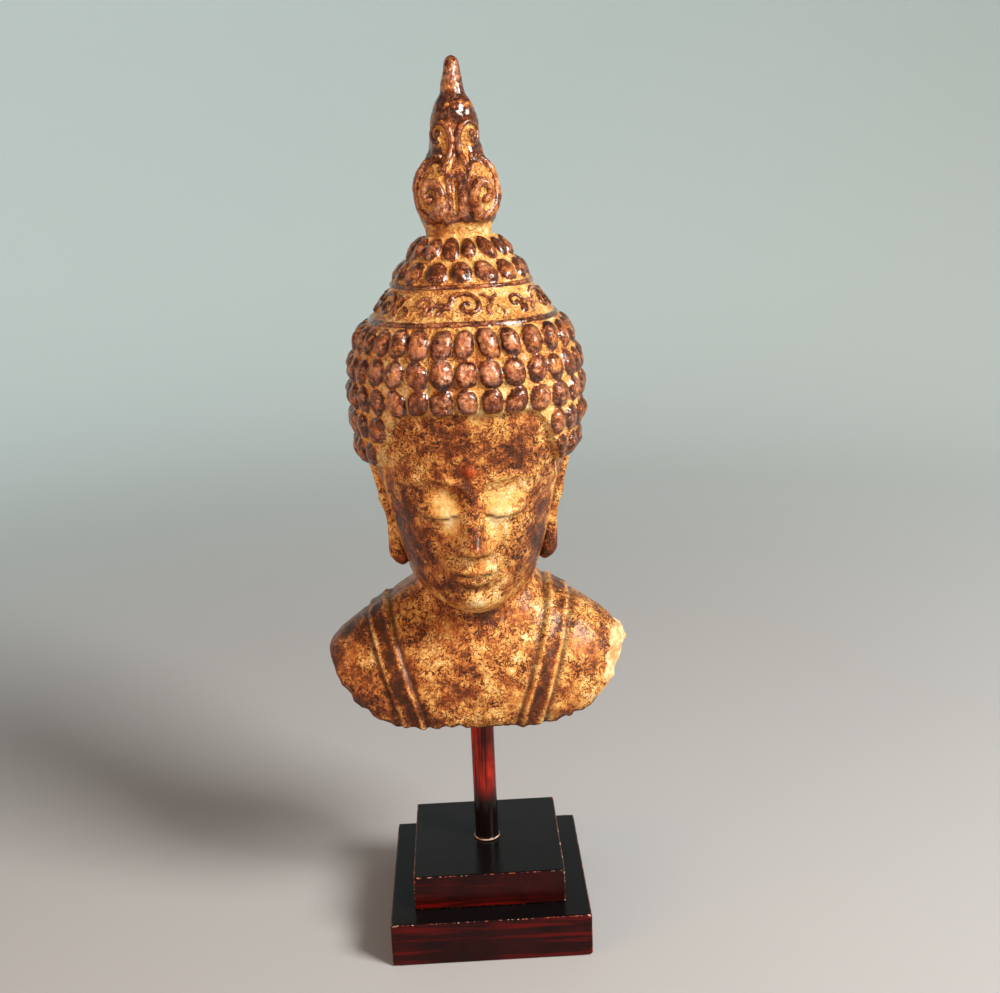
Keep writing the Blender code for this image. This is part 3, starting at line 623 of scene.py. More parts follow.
def nose(x, z):
    """A bridge that grows to the tip, two wings and two nostrils."""
    share = np.clip((BROW - 4 - z) / (BROW - 4 - NOSE_FOOT), 0, 1)
    height = NOSE_HEIGHT * (0.22 + 0.78 * share**1.1) * ease(z, NOSE_FOOT - 3.0, NOSE_FOOT + 3.5)
    half = 5.6 + 2.6 * share
    bridge = height * np.exp(-(np.abs(x / half) ** 3.0)) * ease(z, BROW + 5, BROW - 9)
    tip = 2.6 * hill(x, z, 0.0, NOSE_FOOT + 5.0, 5.5, 5.0)
    wings = 4.6 * hill(np.abs(x), z, 8.0, NOSE_FOOT + 3.6, 3.2, 3.8)
    nostrils = 2.4 * hill(np.abs(x), z, 4.4, NOSE_FOOT - 0.6, 2.0, 1.5)
    return bridge + tip + wings - nostrils


def lid_line(off_eye):
    """The level where the lids meet, a shallow bow that hangs lowest at the middle of the eye."""
    return EYE - 3.4 - 2.6 * np.cos(np.clip(off_eye / (EYE_HALF_WIDTH - 0.5), 0, 1) * np.pi / 2)


def eyes(x, z):
    """Sockets under arched brows, and lowered lids with a fold above and a line where they meet."""
    side = np.abs(x)
    off_eye = np.abs(side - EYE_OUT)
    arch = np.sin(np.pi * np.clip((side + 1) / (BROW_HALF_SPAN + 2), 0, 1)) ** 0.8
    brow_line = BROW - 8 + 12 * arch
    brow = 1.7 * line_mark(z - brow_line, 2.1) * ease(side, BROW_HALF_SPAN - 2, BROW_HALF_SPAN - 10)
    socket = 4.8 * hill(side, z, EYE_OUT - 3, EYE + 3.5, 12.5, 9.5) * ease(z, brow_line + 1.5, brow_line - 3)
    dome = np.clip(1 - (off_eye / (EYE_HALF_WIDTH + 0.5)) ** 2 - ((z - EYE) / 9.6) ** 2, 0, 1)
    along = ease(off_eye, EYE_HALF_WIDTH, EYE_HALF_WIDTH - 2.5)
    gap = 1.6 * line_mark(z - lid_line(off_eye), 0.9) * along
    lash = 0.9 * line_mark(z - lid_line(off_eye) - 1.7, 1.1) * along
    fold = 0.7 * line_mark(z - lid_line(off_eye) - 10.5, 0.9) * ease(off_eye, 11.5, 8.0)
    return brow - socket + 5.4 * dome**0.7 + lash - gap - fold


def mouth_line(side):
    """The level where the lips meet, slightly raised at the corners."""
    share = np.clip(side / MOUTH_HALF_WIDTH, 0, 1)
    return MOUTH + 1.8 * share**2 - 0.6 * np.cos(share * np.pi * 1.5)


def mouth(x, z):
    """Two full lips as half ovals, a groove between them, the hollow under the nose and soft corners."""
    side = np.abs(x)
    share = np.clip(side / MOUTH_HALF_WIDTH, 0, 1)
    part_line = mouth_line(side)
    top_line = part_line + LIP_HEIGHT * (1 - share**1.7) - 1.1 * line_mark(side, 2.6)
    low_share = side / (MOUTH_HALF_WIDTH - 2)
    low_line = part_line - 1.15 * LIP_HEIGHT * np.sqrt(np.clip(1 - low_share**2, 0, 1))
    upper = np.clip((z - part_line) / np.maximum(top_line - part_line, 0.6), 0, 1)
    lower = np.clip((part_line - z) / np.maximum(part_line - low_line, 0.6), 0, 1)
    fade = ease(side, MOUTH_HALF_WIDTH + 0.5, MOUTH_HALF_WIDTH - 4.5)
    lip_up = 3.2 * np.sqrt(np.clip(4 * upper * (1 - upper), 0, 1)) * (0.4 + 0.6 * (1 - upper)) * fade
    lip_low = 3.6 * np.sqrt(np.clip(4 * lower * (1 - lower), 0, 1)) * fade
    muzzle = 4.0 * hill(side, z, 0.0, MOUTH + 2.0, 15.0, 12.0)
    corner = MOUTH_HALF_WIDTH + 1.5
    groove = 1.3 * line_mark(z - part_line, 0.9) * ease(side, corner, corner - 3)
    philtrum = 0.9 * hill(side, z, 0.0, MOUTH + 9.0, 1.8, 3.2)
    corners = 1.6 * hill(side, z, corner, MOUTH + 1.8, 2.8, 2.8)
    return muzzle + lip_up + lip_low - groove - philtrum - corners


def features(x, z):
    """The whole face in front of the head's own oval, with cheeks, chin and the mark on the forehead."""
    side = np.abs(x)
    cheeks = 2.6 * hill(side, z, 28.0, EYE - 20, 15.0, 14.0)
    chin = 4.4 * hill(side, z, 0.0, CHIN + 8.0, 12.5, 8.0)
    under_lip = 1.8 * hill(side, z, 0.0, MOUTH - 9.6, 11.0, 2.8)
    off_mark = np.hypot(side, z - BROW - 7) / FOREHEAD_MARK_RADIUS
    mark = 1.9 * np.sqrt(np.clip(1 - off_mark**2, 0, 1))
    return nose(x, z) + eyes(x, z) + mouth(x, z) + cheeks + chin - under_lip + mark


print("thirds of the face:", round(THIRD, 1), "parts each, eyes at level", round(EYE, 1))

# %% [markdown]
# ## Paint marks
#
# On the real thing the finish tells a story: gold stays calm in the sockets, beside the nose and on the chin,
# while forehead, cheeks and jaw have rubbed brown. A material can't know where a cheek is. So every grid
# point gets a few numbers, stored as attributes, which the materials later read: more gold or less, dark
# grooves, dark tops. The dark grooves are partly dirt and partly painted shade, and on the strap and ear
# ridges the gold is a painted highlight.

# %% Say where gold stays and where brown shows
def face_gold(x, z):
    """A bias from -1, brown, to 1, calm gold: a sum of hills over the places that wear least and most."""
    places = (
        (0.65, EYE_OUT - 1, EYE + 2, 15.0, 13.0), (0.75, 13.0, NOSE_FOOT + 16, 7.0, 14.0),
        (0.55, 0.0, MOUTH + 10, 13.0, 5.0), (-0.52, 0.0, BROW + 22, 46.0, 17.0),
        (-0.9, 0.0, NOSE_FOOT + 16, 4.5, 22.0), (-1.0, 38.0, NOSE_FOOT - 2, 18.0, 26.0),
        (-0.5, 9.0, NOSE_FOOT, 4.0, 4.0),
    )
    chin = 0.6 * hill(x, z, 3.0, CHIN + 5, 13.0, 8.0)
    return chin + sum(gold * hill(np.abs(x), z, *place) for gold, *place in places)


def crease_dirt_and_shade(x, z):
    """Lines painted dark, partly dirt and partly painted shade: between the lids, between the lips, round the
    nose's wings and under the lower lip.
    """
    side = np.abs(x)
    off_eye = np.abs(side - EYE_OUT)
    lids = line_mark(z - lid_line(off_eye), 0.8) * ease(off_eye, EYE_HALF_WIDTH, EYE_HALF_WIDTH - 2.5)
    lips = line_mark(z - mouth_line(side), 1.0) * ease(side, MOUTH_HALF_WIDTH + 1, MOUTH_HALF_WIDTH - 3)
    wings = 0.8 * hill(side, z, 5.0, NOSE_FOOT - 1.0, 4.5, 1.4)
    under_lip = 0.6 * hill(side, z, 0.0, MOUTH - 9.0, 10.0, 1.8)
    return np.clip(lids + lips + wings + under_lip, 0, 1)


print("gold bias in a socket:", round(float(face_gold(EYE_OUT, EYE)), 2))

# %% [markdown]
# ## Head and neck
#
# The head is an oval for every level, wide at the hair and narrow at the chin, with the neck's oval
# joined to it by a fillet. The rings tilt towards the collar, low in front and high behind, so that they
# meet the shoulders' rings.

# %% Loft the head
HEAD_SQUARENESS = 2.3
NECK_FILLET = 5.0
HEAD_SECTIONS = (
    (291, 20.5, 20.5, 20.5), (284, 26.0, 26.0, 26.0), (276, 32.0, 33.0, 32.5), (264, 40.5, 43.0, 42.0),
    (255, 47.0, 50.0, 49.0), (245, 54.5, 58.0, 57.5), (237, 60.0, 62.5, 63.5), (225, 64.5, 66.5, 68.5),
    (208, 66.8, 69.0, 71.5), (190, 66.8, 69.2, 72.0), (175, 64.5, 68.5, 70.5), (160, 60.0, 68.0, 67.5),
    (145, 55.0, 67.5, 63.0), (130, 51.0, 66.5, 57.0), (115, 47.5, 65.5, 50.0), (104, 44.0, 64.5, 45.0),
    (95, 40.0, 63.0, 40.0), (88, 35.0, 61.5, 34.0), (82, 29.0, 59.0, 26.0), (77, 21.0, 53.0, 18.0),
    (73, 11.0, 42.0, 11.0), (70, 5.0, 15.0, 5.0), (66, 2.0, 2.0, 2.0),
)
SHOULDER_SECTIONS = (
    (0.00, 33.5, 29.0, 34.5, 92, 70, 104, 2.0), (0.10, 35.5, 30.0, 35.2, 84, 64, 97, 2.0),
    (0.20, 43.5, 32.5, 36.6, 77.5, 57, 89, 2.1), (0.32, 58.0, 36.5, 39.0, 69.5, 48, 78, 2.3),
    (0.45, 72.0, 40.5, 41.5, 61.0, 38, 65, 2.7), (0.58, 83.0, 43.4, 42.8, 53.5, 27, 50, 3.2),
    (0.70, 89.5, 44.8, 42.8, 47.5, 18, 36, 3.8), (0.80, 92.5, 45.0, 42.0, 43.5, 11, 24, 4.2),
    (0.90, 93.5, 44.5, 41.0, 40.0, 5, 15, 4.7), (1.00, 92.5, 43.0, 39.5, 37.0, 0, 8, 5.0),
)


def head_radius(angle, z):
    """The head's own oval at a level, under its hair."""
    wide, front, back = (smooth_line(HEAD_SECTIONS, i, z) for i in (1, 2, 3))
    return oval(angle, wide, front, back, HEAD_SQUARENESS)


def tilt(angle):
    """How far the neck's rings dip in front and rise behind, as a share of cosine squared."""
    side, front, back = SHOULDER_SECTIONS[0][4:7]
    drop = np.where(np.cos(angle) > 0, front - side, back - side)
    return drop * np.cos(angle) ** 2


def row_levels():
    """Levels of the head's rings: the running sum of steps that are smaller at the band, scaled to fit."""
    rough = np.linspace(FINIAL_FOOT, COLLAR, HEAD_ROWS)
    step = 1.0 - 0.4 * ease(rough, BAND_TOP + 8, BAND_TOP + 2) * ease(rough, BAND_FOOT - 8, BAND_FOOT - 2)
    share = np.cumsum(step) / np.sum(step)
    return FINIAL_FOOT + (COLLAR - FINIAL_FOOT) * share[:-1]


def head_rings(angle):
    """Rings of crown, band, hair, face and neck, with their marks for the paint."""
    level = row_levels()[:, None]
    z = level + tilt(angle) * ease(level, EAR_TOP + 7, COLLAR)
    _, neck_wide, neck_front, neck_back = SHOULDER_SECTIONS[0][:4]
    neck = oval(angle, neck_wide, neck_front, neck_back, 2.0) * ease(level, HAIRLINE + 3, EAR_TOP - 18)
    points = placed(angle, joined(head_radius(angle, z), neck, NECK_FILLET), z)
    wide_angle = angle + 0 * z
    skin = ease(skin_inset(wide_angle, z), -0.8, 1.2) * ease(z, FINIAL_FOOT - 3, FINIAL_FOOT - 8)
    border = face_inset(wide_angle, z)
    rim = line_mark(border - 0.2, 1.3) * ease(z, NAPE - 5, NAPE + 18) * ease(z, HAIRLINE + 3, HAIRLINE - 12)
    hair, crown = curls(wide_angle, z)
    lines, carved = band(wide_angle, z)
    relief = CURL_RISE * hair + CROWN_RISE * crown + BAND_LINE_RISE * lines + SCROLL_RISE * carved
    relief += 0.8 * cloud(points, 4.2) * (hair + crown) + 1.1 * rim
    relief -= HAIR_THICKNESS * skin * ease(level, COLLAR, COLLAR + 14)
    points += grid_normals(points) * relief[..., None]
    front = ease(np.abs(wide_angle), 1.35, 0.95) * ease(border, -2.0, 3.0)
    x = points[..., 0].copy()
    points[..., 1] -= features(x, z) * front
    marks = {
        "tops": np.clip(np.maximum.reduce([hair, crown, lines, 0.9 * carved]), 0, 1),
        "carved": ease(skin_inset(wide_angle, z), 1.0, -1.0) * ease(level, COLLAR, NAPE),
        "gold": face_gold(x, z) * front + 0.9 * rim + 0.8 * hill(angle, z, -0.05, 222.0, 0.35, 26.0) * hair,
        "groove": crease_dirt_and_shade(x, z) * front,
        "mark": hill(x, z, 0.0, BROW + 7, 3.6, 3.6) * front,
    }
    return points, marks


head, head_marks = head_rings(angle)
print("head:", head.shape[0], "rings,", round(np.ptp(head[..., 0])), "parts wide with its hair")

# %% [markdown]
# ## Shoulders, chest and the broken edge
#
# Below the neck the rings widen into sloping shoulders and end in a ragged lower edge, as if broken from
# a figure. Two straps of a robe cross them as flat raised bands with a groove on each side. The shoulder
# on +X has lost a flake. A boolean could cut that flake, but a push inward in the same grid keeps the
# mesh even.

# %% Loft the shoulders
STRAP_WIDTH = 13.0
STRAP_RISE = 1.0
STRAPS = ((51.5, 29.5, 36.0), (-62.0, -40.0, -44.0))
STRAP_TOP = 72.0
EDGE_ROUGHNESS = 1.8
CHIP_DEPTH = 2.0
CHIP_SPAN = (78.0, 88.0)
FACET_LINE = 69.0
FACET_SLANT = 0.3
NICKS = ((16.1, 66.3, 1.0, 3.4), (20.4, 66.9, 0.9, 1.2), (18.2, 59.7, 1.1, 1.0))
NICK_DEPTH = 1.3


def strap_edges(x, y, z):
    """For each strap, how far outside its nearer edge a point lies. A strap leans inwards on its way down."""
    low = np.clip(1 - z / STRAP_TOP, 0, 1)
    for ridge_x, front_x, back_x in STRAPS:
        foot_x = np.where(y < 0, front_x, back_x)
        centre = ridge_x + (foot_x - ridge_x) * low**1.15
        yield np.abs(x - centre) - STRAP_WIDTH / 2


def uneven(x, z):
    """Swells of about 1 that don't repeat evenly, for a broken edge: a sum of sines of different lengths."""
    slow = np.sin(0.13 * x + 1.3) * np.cos(0.17 * z - 0.7 + 0.11 * x)
    quick = np.sin(0.51 * x - 0.3 * z) * np.cos(0.37 * z + 0.2)
    sharp = np.abs(np.sin(0.33 * x + 0.9)) - 0.6
    return 0.6 * slow + 0.4 * quick + 0.7 * sharp


def shoulder_rings(angle):
    """Rings of neck, shoulders and chest down to the broken edge, with their marks for the paint."""
    share = np.linspace(0, 1, SHOULDER_ROWS)[:, None]
    wide, front, back, side_z, front_z, back_z, bend = (
        smooth_line(SHOULDER_SECTIONS, i, share) for i in range(1, 8)
    )
    radius = oval(angle, wide, front, back, 2.0 + 0.5 * share)
    across = np.clip(np.abs(np.sin(angle)) * radius / wide, 0, 1)
    end_z = np.where(np.cos(angle) > 0, front_z, back_z)
    z = side_z + (end_z - side_z) * (1 - across**bend)
    points = placed(angle, joined(radius, head_radius(angle, z), NECK_FILLET), z)
    x, y = points[..., 0].copy(), points[..., 1].copy()
    robe = ease(z, COLLAR - 2, COLLAR - 16) * ease(share, 0.04, 0.2)
    relief, groove, piping_and_painted_highlight, strap = (np.zeros(z.shape) for _ in range(4))
    for edge in strap_edges(x, y, z):
        strap += ease(edge, 1.6, -1.6) * robe
        # a ridge along both edges of each strap; the lighter gold it gets below is a painted highlight
        piping_and_painted_highlight += line_mark(edge + 1.2, 1.4) * robe
        # a groove outside each strap edge; its dark paint is painted shade, with dirt
        groove += line_mark(edge - 1.9, 1.6) * robe
    relief += STRAP_RISE * strap + 0.7 * piping_and_painted_highlight - 1.0 * groove
    for at_x, at_z, half_x, half_z in NICKS:
        relief -= NICK_DEPTH * hill(x, z, at_x, at_z, half_x, half_z) * (y < 0)
    broken = ease(share, 0.84, 1.0) * uneven(x * 1.2, y)
    crumbs = 2.8 * cloud(points, 17.0) + 2.6 * cloud(points, 7.0) + 1.7 * cloud(points, 3.2)
    crumbs = np.sign(crumbs) * np.abs(crumbs) ** 0.8 * ease(share, 0.78, 0.98) * ease(np.abs(x), 104, 80)
    lost = ease(x, *CHIP_SPAN)
    chip = CHIP_DEPTH * lost * (0.6 + 0.5 * uneven(1.6 * z, y) + 0.5 * cloud(points, 5.0))
    points += grid_normals(points) * (relief - chip + crumbs + 0.7 * EDGE_ROUGHNESS * broken)[..., None]
    points[..., 2] += EDGE_ROUGHNESS * broken + 1.3 * crumbs
    points[..., 0] -= 1.3 * crumbs * x / 93
    marks = {
        # gold: lighter on the strap ridges, a painted highlight; darker on the straps, at the front of the
        # chest and towards -X
        "gold": 1.3 * piping_and_painted_highlight - 0.8 * strap - 0.6 * hill(x, z, 6.0, 66.0, 24.0, 9.0) * (y < 0)
        - 0.4 * ease(x, -15, -75),
        "groove": np.clip(groove, 0, 1),
        "edge": ease(share, 0.93, 1.0) + 0 * x,
        "facet": ease(x - FACET_LINE - FACET_SLANT * z + 3.5 * cloud(points, 6.0), -3, 3) * ease(z, 52, 46),
    }
    return points, marks


shoulders, shoulder_marks = shoulder_rings(angle)
print("shoulders:", round(np.ptp(shoulders[..., 0])), "parts wide")

# %% [markdown]
# ## One casting
#
# The grids are stacked into one closed surface. Small lumps and dents, different at two sizes, take away
# the look of a computed form. The underside closes the casting, and a blind hole in it takes the rod.

# %% Stack the rings and roughen the casting
LUMP_SIZES = ((11.0, 0.35), (4.5, 0.22))
MARK_NAMES = ("tops", "carved", "gold", "groove", "mark", "edge", "facet")


def underside_rings(edge):
    """Rings that shrink from the broken edge to the middle and rise to a flat level with the fourth power."""
    share = np.linspace(0, 1, UNDERSIDE_ROWS + 1)[1:-1, None, None]
    inward = edge * (1 - share)
    inward[..., 2] = UNDERSIDE + (edge[:, 2] - UNDERSIDE) * (1 - share[..., 0]) ** 4
    return inward


underside = underside_rings(shoulders[-1])
casting = np.concatenate([finial, head, shoulders, underside])
for size, depth in LUMP_SIZES:
    lumps = grid_normals(casting) * depth * cloud(casting, size)[..., None]
    casting[:-UNDERSIDE_ROWS] += lumps[:-UNDERSIDE_ROWS]

bust_mesh = ring_mesh("bust_casting", in_place(casting), in_place((0, 0, TIP)), in_place((0, 0, UNDERSIDE)))
sections = (
    (finial, finial_marks), (head, head_marks), (shoulders, shoulder_marks),
    (underside, {"edge": np.ones(underside.shape[:2])}),
)
for name in MARK_NAMES:
    grid = np.concatenate([marks.get(name, np.zeros(rings.shape[:2])) for rings, marks in sections])
    give_attribute(bust_mesh, name, np.concatenate([[grid[0, 0]], grid.ravel(), [grid[-1, 0]]]))
bust = add_piece("bust_casting", bust_mesh)
print("casting:", len(bust_mesh.vertices), "points,", 2 * COLUMNS * casting.shape[0], "triangles")

# %% [markdown]
# ## Ears
#
# The ears are long, with free lobes that reach below the jaw, and stand nearly on edge when seen from in
# front. Each is a closed loft of flat ovals. On its outer side a rim runs round the edge, with a hollow
# inside it, a fold within the hollow and a slot in the lobe. A boolean union makes the ear one solid with
# the head.

# %% Loft an ear and join it
EAR_COLUMNS = 44
EAR_ROWS = 72
EAR_SECTIONS = (
    (168.0, 57.5, -1.0, 3.0, 5.0), (164.0, 56.8, -1.0, 4.6, 10.0), (157.0, 55.3, -1.5, 5.0, 13.5),
    (147.0, 52.7, -2.5, 5.0, 14.5), (137.0, 50.0, -4.0, 5.0, 13.0), (127.0, 47.8, -6.0, 5.0, 10.5),
    (118.0, 46.6, -8.0, 5.3, 8.8), (110.0, 46.0, -9.5, 6.0, 8.0), (103.0, 45.3, -10.5, 6.3, 7.8),
    (98.5, 44.2, -11.0, 4.8, 6.0), (96.0, 43.6, -11.0, 2.2, 3.0),
)


def ear_relief(across, z):
    """Rim, hollow, fold, flap and lobe slot on the ear's outer side. Across is -1 in front and 1 behind."""
    upper = ease(z, 114, 124) * ease(z, 167, 160)
    rim = 1.4 * line_mark(np.abs(across) - 0.80, 0.15) * ease(z, 104, 118)
    hollow = 3.0 * np.exp(-(np.abs(across / 0.62) ** 4)) * upper
    fold = 1.9 * line_mark(across - 0.22 - 0.012 * (z - 140), 0.16) * ease(z, 120, 128) * ease(z, 160, 150)
    flap = 1.6 * hill(across, z, -0.62, 137.0, 0.22, 4.5)
    slot = 1.4 * hill(across, z, 0.0, 109.0, 0.24, 7.0)
    return rim - hollow + fold + flap - slot


def ear_mesh(name, mirror):
    """A closed loft: x is the centre plus thickness times sine, y is the centre plus width times cosine."""
    share = np.linspace(0, 1, EAR_ROWS)[:, None]
    levels = np.array([row[0] for row in EAR_SECTIONS])
    z = np.interp(share, np.linspace(0, 1, len(levels)), levels)
    cx, cy, thick, wide = (smooth_line(EAR_SECTIONS, i, z) for i in (1, 2, 3, 4))
    turn = np.linspace(0, 2 * np.pi, EAR_COLUMNS, endpoint=False)[None, :]
    across, out = np.cos(turn), np.sin(turn)
    relief = ear_relief(across, z) * ease(out, 0.15, 0.55)
    rings = np.stack([mirror * (cx + thick * out + relief), cy + wide * across, z + 0 * turn], axis=2)
    hollow, raised = np.clip(-relief / 2.2, 0, 1), np.clip(relief, 0, 1)
    # painted light on the ear: lighter gold on the raised rim and fold is a painted highlight, darker in the
    # hollow is painted shade
    gold = 0.4 * raised - 0.15 * hollow - 0.3 * ease(z, 116, 104)
    # painted shade in the hollow, and a painted shadow on the ear's back wall where it stands off the head
    groove = np.clip(0.6 * hollow + 0.8 * ease(out, 0.45, 0.1) * ease(across, 0.2, 0.7), 0, 1)
    if mirror > 0:  # so that the faces point outwards
        rings, groove, gold = rings[:, ::-1], groove[:, ::-1], gold[:, ::-1]
    rings = rings + 0.25 * cloud(rings, 4.5)[..., None]
    first = rings[0].mean(axis=0) + (0, 0, 1.2)
    last = rings[-1].mean(axis=0) - (0, 0, 1.0)
    mesh = ring_mesh(name, in_place(rings), in_place(first), in_place(last))
    for mark in MARK_NAMES:
        grid = {"gold": gold, "groove": groove}.get(mark, np.zeros(gold.shape))
        give_attribute(mesh, mark, np.concatenate([[0.0], grid.ravel(), [0.0]]))
    return mesh


def boolean(piece, other, operation):
    """Joins or cuts a piece with another closed one, applies the result and removes the other."""
    change = piece.modifiers.new(other.name, "BOOLEAN")
    change.operation = operation
    change.object = other
    change.solver = "MANIFOLD"
    bpy.context.view_layer.update()
    made = bpy.data.meshes.new_from_object(piece.evaluated_get(bpy.context.evaluated_depsgraph_get()))
    piece.modifiers.remove(change)
    piece.data = made
    bpy.data.objects.remove(other)


for name, mirror in (("ear_right", 1.0), ("ear_left", -1.0)):
    boolean(bust, add_piece(name, ear_mesh(name, mirror)), "UNION")
    print(name, "joined:", len(bust.data.vertices), "points")

# %% Cut the socket for the rod
ROD_DIAMETER = 0.015
ROD_IN_BUST = 0.040
FIT_GAP = 0.0003
SOCKET_START = 0.01
LATHE_SIDES = 64


def lathe(name, outline):
    """A turned shape: each point of the outline (radius, height) becomes a ring. Both ends get a cap."""
    outline = np.array(outline)
    turn = np.linspace(0, 2 * np.pi, LATHE_SIDES, endpoint=False)[None, :]
    radius, z = outline[:, :1], outline[:, 1:]
    rings = np.stack([radius * np.cos(turn), radius * np.sin(turn), z + 0 * turn], axis=2)
    return ring_mesh(name, rings[:, ::-1] if z[0] < z[-1] else rings, (0, 0, z[0, 0]), (0, 0, z[-1, 0]))


socket_radius = ROD_DIAMETER / 2 + FIT_GAP
socket_top = BUST_FOOT + ROD_IN_BUST + FIT_GAP
socket_outline = ((socket_radius, socket_top), (socket_radius, BUST_FOOT - SOCKET_START))
boolean(bust, add_piece("socket", lathe("socket", socket_outline)), "DIFFERENCE")
bust.data.calc_loop_triangles()
print("bust:", len(bust.data.loop_triangles), "triangles with ears and socket")

# %% [markdown]
# ## The rod
#
# The rod is turned wood under red lacquer. Its lower third is nearly black. At its foot lacquer gathered in a
# bead, and a pale ring painted on it is a painted highlight. A cylinder would do for the shaft, but turning
# an outline gives shaft, chamfers and bead in one piece, as on a lathe.

# %% Turn the rod
rod_low, rod_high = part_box("rod")
block_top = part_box("upper_block")[1].z
BEAD = 0.0010
ROD_CHAMFER = 0.0006
ROD_RINGS = 60
BEAD_RINGS = 9
BLACK_FROM_TO = (0.052, 0.026)

rod_radius = ROD_DIAMETER / 2
bead_foot = block_top + FIT_GAP
bead_turn = np.linspace(np.pi / 2, -np.pi / 2, BEAD_RINGS)
shaft = np.linspace(rod_high.z - ROD_CHAMFER, bead_foot + 2.2 * BEAD, ROD_RINGS)
rod_outline = [(rod_radius - ROD_CHAMFER, rod_high.z)]
rod_outline += [(rod_radius, z) for z in shaft]
rod_outline += [(rod_radius + BEAD * np.cos(t), bead_foot + 0.8 * BEAD * (1 + np.sin(t))) for t in bead_turn]
rod_outline += [(rod_radius, rod_low.z + ROD_CHAMFER), (rod_radius - ROD_CHAMFER, rod_low.z)]
rod_mesh = lathe("rod_lacquered", rod_outline)
rod_z = np.array([v.co.z for v in rod_mesh.vertices])
# the bead and below it, where the pale ring is painted: a painted highlight
give_attribute(rod_mesh, "wear", ease(rod_z, bead_foot + 2.0 * BEAD, bead_foot + 0.9 * BEAD))
give_attribute(rod_mesh, "black", ease(rod_z - block_top, *BLACK_FROM_TO))
rod = add_piece("rod_lacquered", rod_mesh)
print("rod:", len(rod_mesh.vertices), "points,", round(1000 * (rod_high.z - rod_low.z), 1), "mm long")

# %% [markdown]
# ## The two blocks
#
# The blocks are lacquered wood with softly rounded edges. The lacquer is rubbed through along them, and
# small chips are missing at edges and corners. A bevel modifier gives an even rounding. Here every point
# of a fine box is pulled to a ball that rolls inside it, and then pushed in where a chip is, so that no
# two edges are alike.

# %% Shape the blocks
BLOCK_ROUNDING = 0.0011
BLOCK_CELLS = 56
EDGE_CROWDING = 0.72
CHIP_SIZE = 0.0035
CHIP_INWARD = 0.0010
WEAR_REACH = 0.0021


def box_points(low, high):
    """Points over a box's six faces, closer together near the edges, and quads with shared seams."""
    t = np.linspace(-1, 1, BLOCK_CELLS + 1)
    t = t + EDGE_CROWDING * np.sin(np.pi * t) / np.pi
    a, b = np.meshgrid(t, t, indexing="ij")
    index = np.arange(t.size**2).reshape(t.size, t.size)
    quad = np.stack([index[:-1, :-1], index[1:, :-1], index[1:, 1:], index[:-1, 1:]], axis=2).reshape(-1, 4)
    faces, points = [], []
    for axis in range(3):
        for side in (-1, 1):
            plane = np.empty((t.size**2, 3))
            plane[:, axis] = side
            plane[:, (axis + 1) % 3] = a.ravel()
            plane[:, (axis + 2) % 3] = b.ravel()
            faces.append((quad if side > 0 else quad[:, ::-1]) + len(points) * t.size**2)
            points.append(plane)
    unit, place = np.unique(np.round(np.concatenate(points), 6), axis=0, return_inverse=True)
    low, high = np.array(low), np.array(high)
    return low + (unit + 1) / 2 * (high - low), place.ravel()[np.concatenate(faces)]


def block_mesh(name, low, high, seed, red):
    """A box with edges rolled round, and chips where lumps pass a limit. Wear and side are attributes."""
    points, quads = box_points(low, high)
    low, high = np.array(low), np.array(high)
    core = np.clip(points, low + BLOCK_ROUNDING, high - BLOCK_ROUNDING)
    outward = points - core
    length = np.linalg.norm(outward, axis=1, keepdims=True)
    outward = outward / np.maximum(length, 1e-9)
    flat = np.sort(np.minimum(points - low, high - points), axis=1)
    to_edge = flat[:, 1]
    lumps = cloud(points + seed, CHIP_SIZE) + 0.6 * cloud(points - seed, CHIP_SIZE / 2.6)
    corner = ease(flat[:, 2], 0.006, 0.0)
    chip = ease(lumps + 0.7 * corner, 0.75, 1.5) * ease(to_edge, 0.0016, 0.0)
    points = core + outward * BLOCK_ROUNDING - outward * (CHIP_INWARD * chip)[:, None]
    mesh = smooth_mesh(name, points, quads.tolist())
    give_attribute(mesh, "wear", np.clip(ease(to_edge, WEAR_REACH, 0.0) + 0.5 * corner + chip, 0, 1))
    give_attribute(mesh, "side", red * (1 - np.abs(outward[:, 2])))
    return mesh


blocks = []
for seed, red, node_name in ((0.7, 0.7, "lower_block"), (3.8, 1.0, "upper_block")):
    low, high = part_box(node_name)
    name = node_name + "_lacquered"
    block = add_piece(name, block_mesh(name, low, high, seed, red))
    blocks.append(block)
    print(block.name, [round(1000 * v, 1) for v in high - low], "mm,", len(block.data.polygons), "faces")

# %% [markdown]
# ## Small tools for materials
#
# A material is a graph of nodes. A few short helpers make the graphs readable: one adds a node and fills
# its inputs, some do arithmetic, and one turns paint as a painter mixes it, in ordinary screen values,
# into the linear values that Blender works with. A value knows the tree it belongs to, so the tree isn't
# named again in each line.

# %% Helpers for node trees
def paint(red, green, blue):
    """A colour from 0 to 255 made linear: ((c + 0.055) / 1.055)^2.4."""
    screen = np.array([red, green, blue]) / 255.0
    linear = np.where(screen > 0.04045, ((screen + 0.055) / 1.055) ** 2.4, screen / 12.92)
    return (*linear.tolist(), 1.0)


def fill(node, inputs):
    """Sets each input of a node to a value, or links it where the value is another node's output."""
    for name, value in inputs.items():
        if isinstance(value, bpy.types.NodeSocket):
            node.id_data.links.new(value, node.inputs[name])
        else:
            node.inputs[name].default_value = value
    return node


def add_node(tree, kind, inputs, **settings):
    """A new node with its settings and its inputs."""
    made = tree.nodes.new("ShaderNode" + kind)
    for name, value in settings.items():
        setattr(made, name, value)
    return fill(made, inputs)


def calculate(operation, a, b=0.0):
    """The result of a Math node, in the tree of whichever value is an output."""
    tree = (a if isinstance(a, bpy.types.NodeSocket) else b).id_data
    return add_node(tree, "Math", {0: a, 1: b}, operation=operation).outputs[0]


